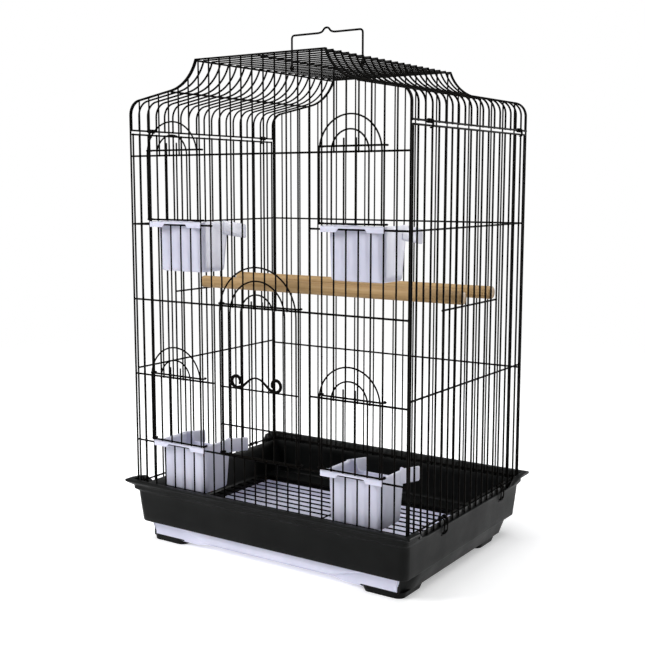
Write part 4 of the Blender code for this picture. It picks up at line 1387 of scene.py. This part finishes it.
# %% Surrounding light
ROOM_GLOW = 0.36            # light from all round; the backdrop itself shows white
MIX_FIRST, MIX_SECOND = 1, 2    # the shader sockets of a mix
scene = bpy.context.scene
scene.view_settings.view_transform = "Standard"
scene.world = bpy.data.worlds.new("studio")
scene.world.use_nodes = True
surround = scene.world.node_tree.nodes["Background"]
surround.inputs["Color"].default_value = 0.97, 0.98, 1, 1
surround.inputs["Strength"].default_value = ROOM_GLOW
backdrop = scene.world.node_tree.nodes.new("ShaderNodeBackground")
backdrop.inputs["Color"].default_value = 1, 1, 1, 1
seen = scene.world.node_tree.nodes.new("ShaderNodeLightPath")
either = scene.world.node_tree.nodes.new("ShaderNodeMixShader")
join = scene.world.node_tree.links.new
join(seen.outputs["Is Camera Ray"], either.inputs["Fac"])
join(surround.outputs["Background"], either.inputs[MIX_FIRST])
join(backdrop.outputs["Background"], either.inputs[MIX_SECOND])
join(either.outputs["Shader"], scene.world.node_tree.nodes["World Output"].inputs["Surface"])
print("glow", ROOM_GLOW)

# %% [markdown]
# Wide square panels give soft shadows, as the cloth boxes of a studio do. A bare point
# of light would draw a hard shadow of every wire on the floor.

# %% Soft lights
def soft_light(name, place, target, size, power, diffuse=True):
    """A square panel of light that faces a point, or one that only shows in sheens."""
    light = bpy.data.lights.new(name, "AREA")
    light.size, light.energy = size, power
    lamp = bpy.data.objects.new(name, light)
    lamp.location = place
    way = Vector(target) - Vector(place)
    lamp.rotation_euler = way.to_track_quat("-Z", "Y").to_euler()
    lamp.visible_diffuse = diffuse
    bpy.context.scene.collection.objects.link(lamp)
    print(name, power, "W")


soft_light("key", (-1.6, -1.9, 1.8), (0, 0, 0.25), 1.2, 62)
soft_light("overhead", (0, 0.2, 3.0), (0, 0, 0), 2.6, 60)
soft_light("side_panel_light", (2.0, 2.2, 1.0), (0.1, 0, 0.2), 2.0, 165, diffuse=False)

# %% [markdown]
# ## Floor
# The cage stands on pale paper. It is a disc whose edge fades out into the backdrop, so
# no horizon shows behind the wires, and a faint glow keeps it white under the cage.

# %% Lay the floor
FLOOR_EDGE = 4.0
FLOOR_DROP = 0.0002
FLOOR_GLOW = 0.35           # keeps the paper white where the cage shades it a little
FADE_START, FADE_END = 0.55, 2.2


def fade_out(finish, start, end):
    """Make a finish clear from a distance onwards."""
    nodes, links = finish.node_tree.nodes, finish.node_tree.links
    place = nodes.new("ShaderNodeTexCoord")
    distance = nodes.new("ShaderNodeVectorMath")
    distance.operation = "LENGTH"
    fade = nodes.new("ShaderNodeMapRange")
    fade.interpolation_type = "SMOOTHSTEP"
    fade.inputs["From Min"].default_value = start
    fade.inputs["From Max"].default_value = end
    clear = nodes.new("ShaderNodeBsdfTransparent")
    blend = nodes.new("ShaderNodeMixShader")
    links.new(place.outputs["Object"], distance.inputs[0])
    links.new(distance.outputs["Value"], fade.inputs["Value"])
    links.new(fade.outputs["Result"], blend.inputs["Fac"])
    links.new(nodes["Principled BSDF"].outputs["BSDF"], blend.inputs[MIX_FIRST])
    links.new(clear.outputs["BSDF"], blend.inputs[MIX_SECOND])
    links.new(blend.outputs["Shader"], nodes["Material Output"].inputs["Surface"])


def paper_floor():
    """A disc of paper that fades out towards its edge."""
    work = bmesh.new()
    bmesh.ops.create_circle(work, cap_ends=True, segments=96, radius=FLOOR_EDGE)
    mesh = bpy.data.meshes.new("floor")
    work.to_mesh(mesh)
    work.free()
    floor = bpy.data.objects.new("floor", mesh)
    floor.location.z = -FLOOR_DROP
    bpy.context.scene.collection.objects.link(floor)
    paper = new_finish("floor_paper", (0.93, 0.93, 0.93), 0.9, Specular_IOR_Level=0.1)
    dress(paper, colour=tint(paper, grain(paper, 6, 3), (0.91, 0.91, 0.915), (0.94, 0.94, 0.94)))
    shader = paper.node_tree.nodes["Principled BSDF"]
    shader.inputs["Emission Color"].default_value = 1, 1, 1, 1
    shader.inputs["Emission Strength"].default_value = FLOOR_GLOW
    fade_out(paper, FADE_START, FADE_END)
    mesh.materials.append(paper)


paper_floor()
print("floor", FLOOR_EDGE, "m in radius")
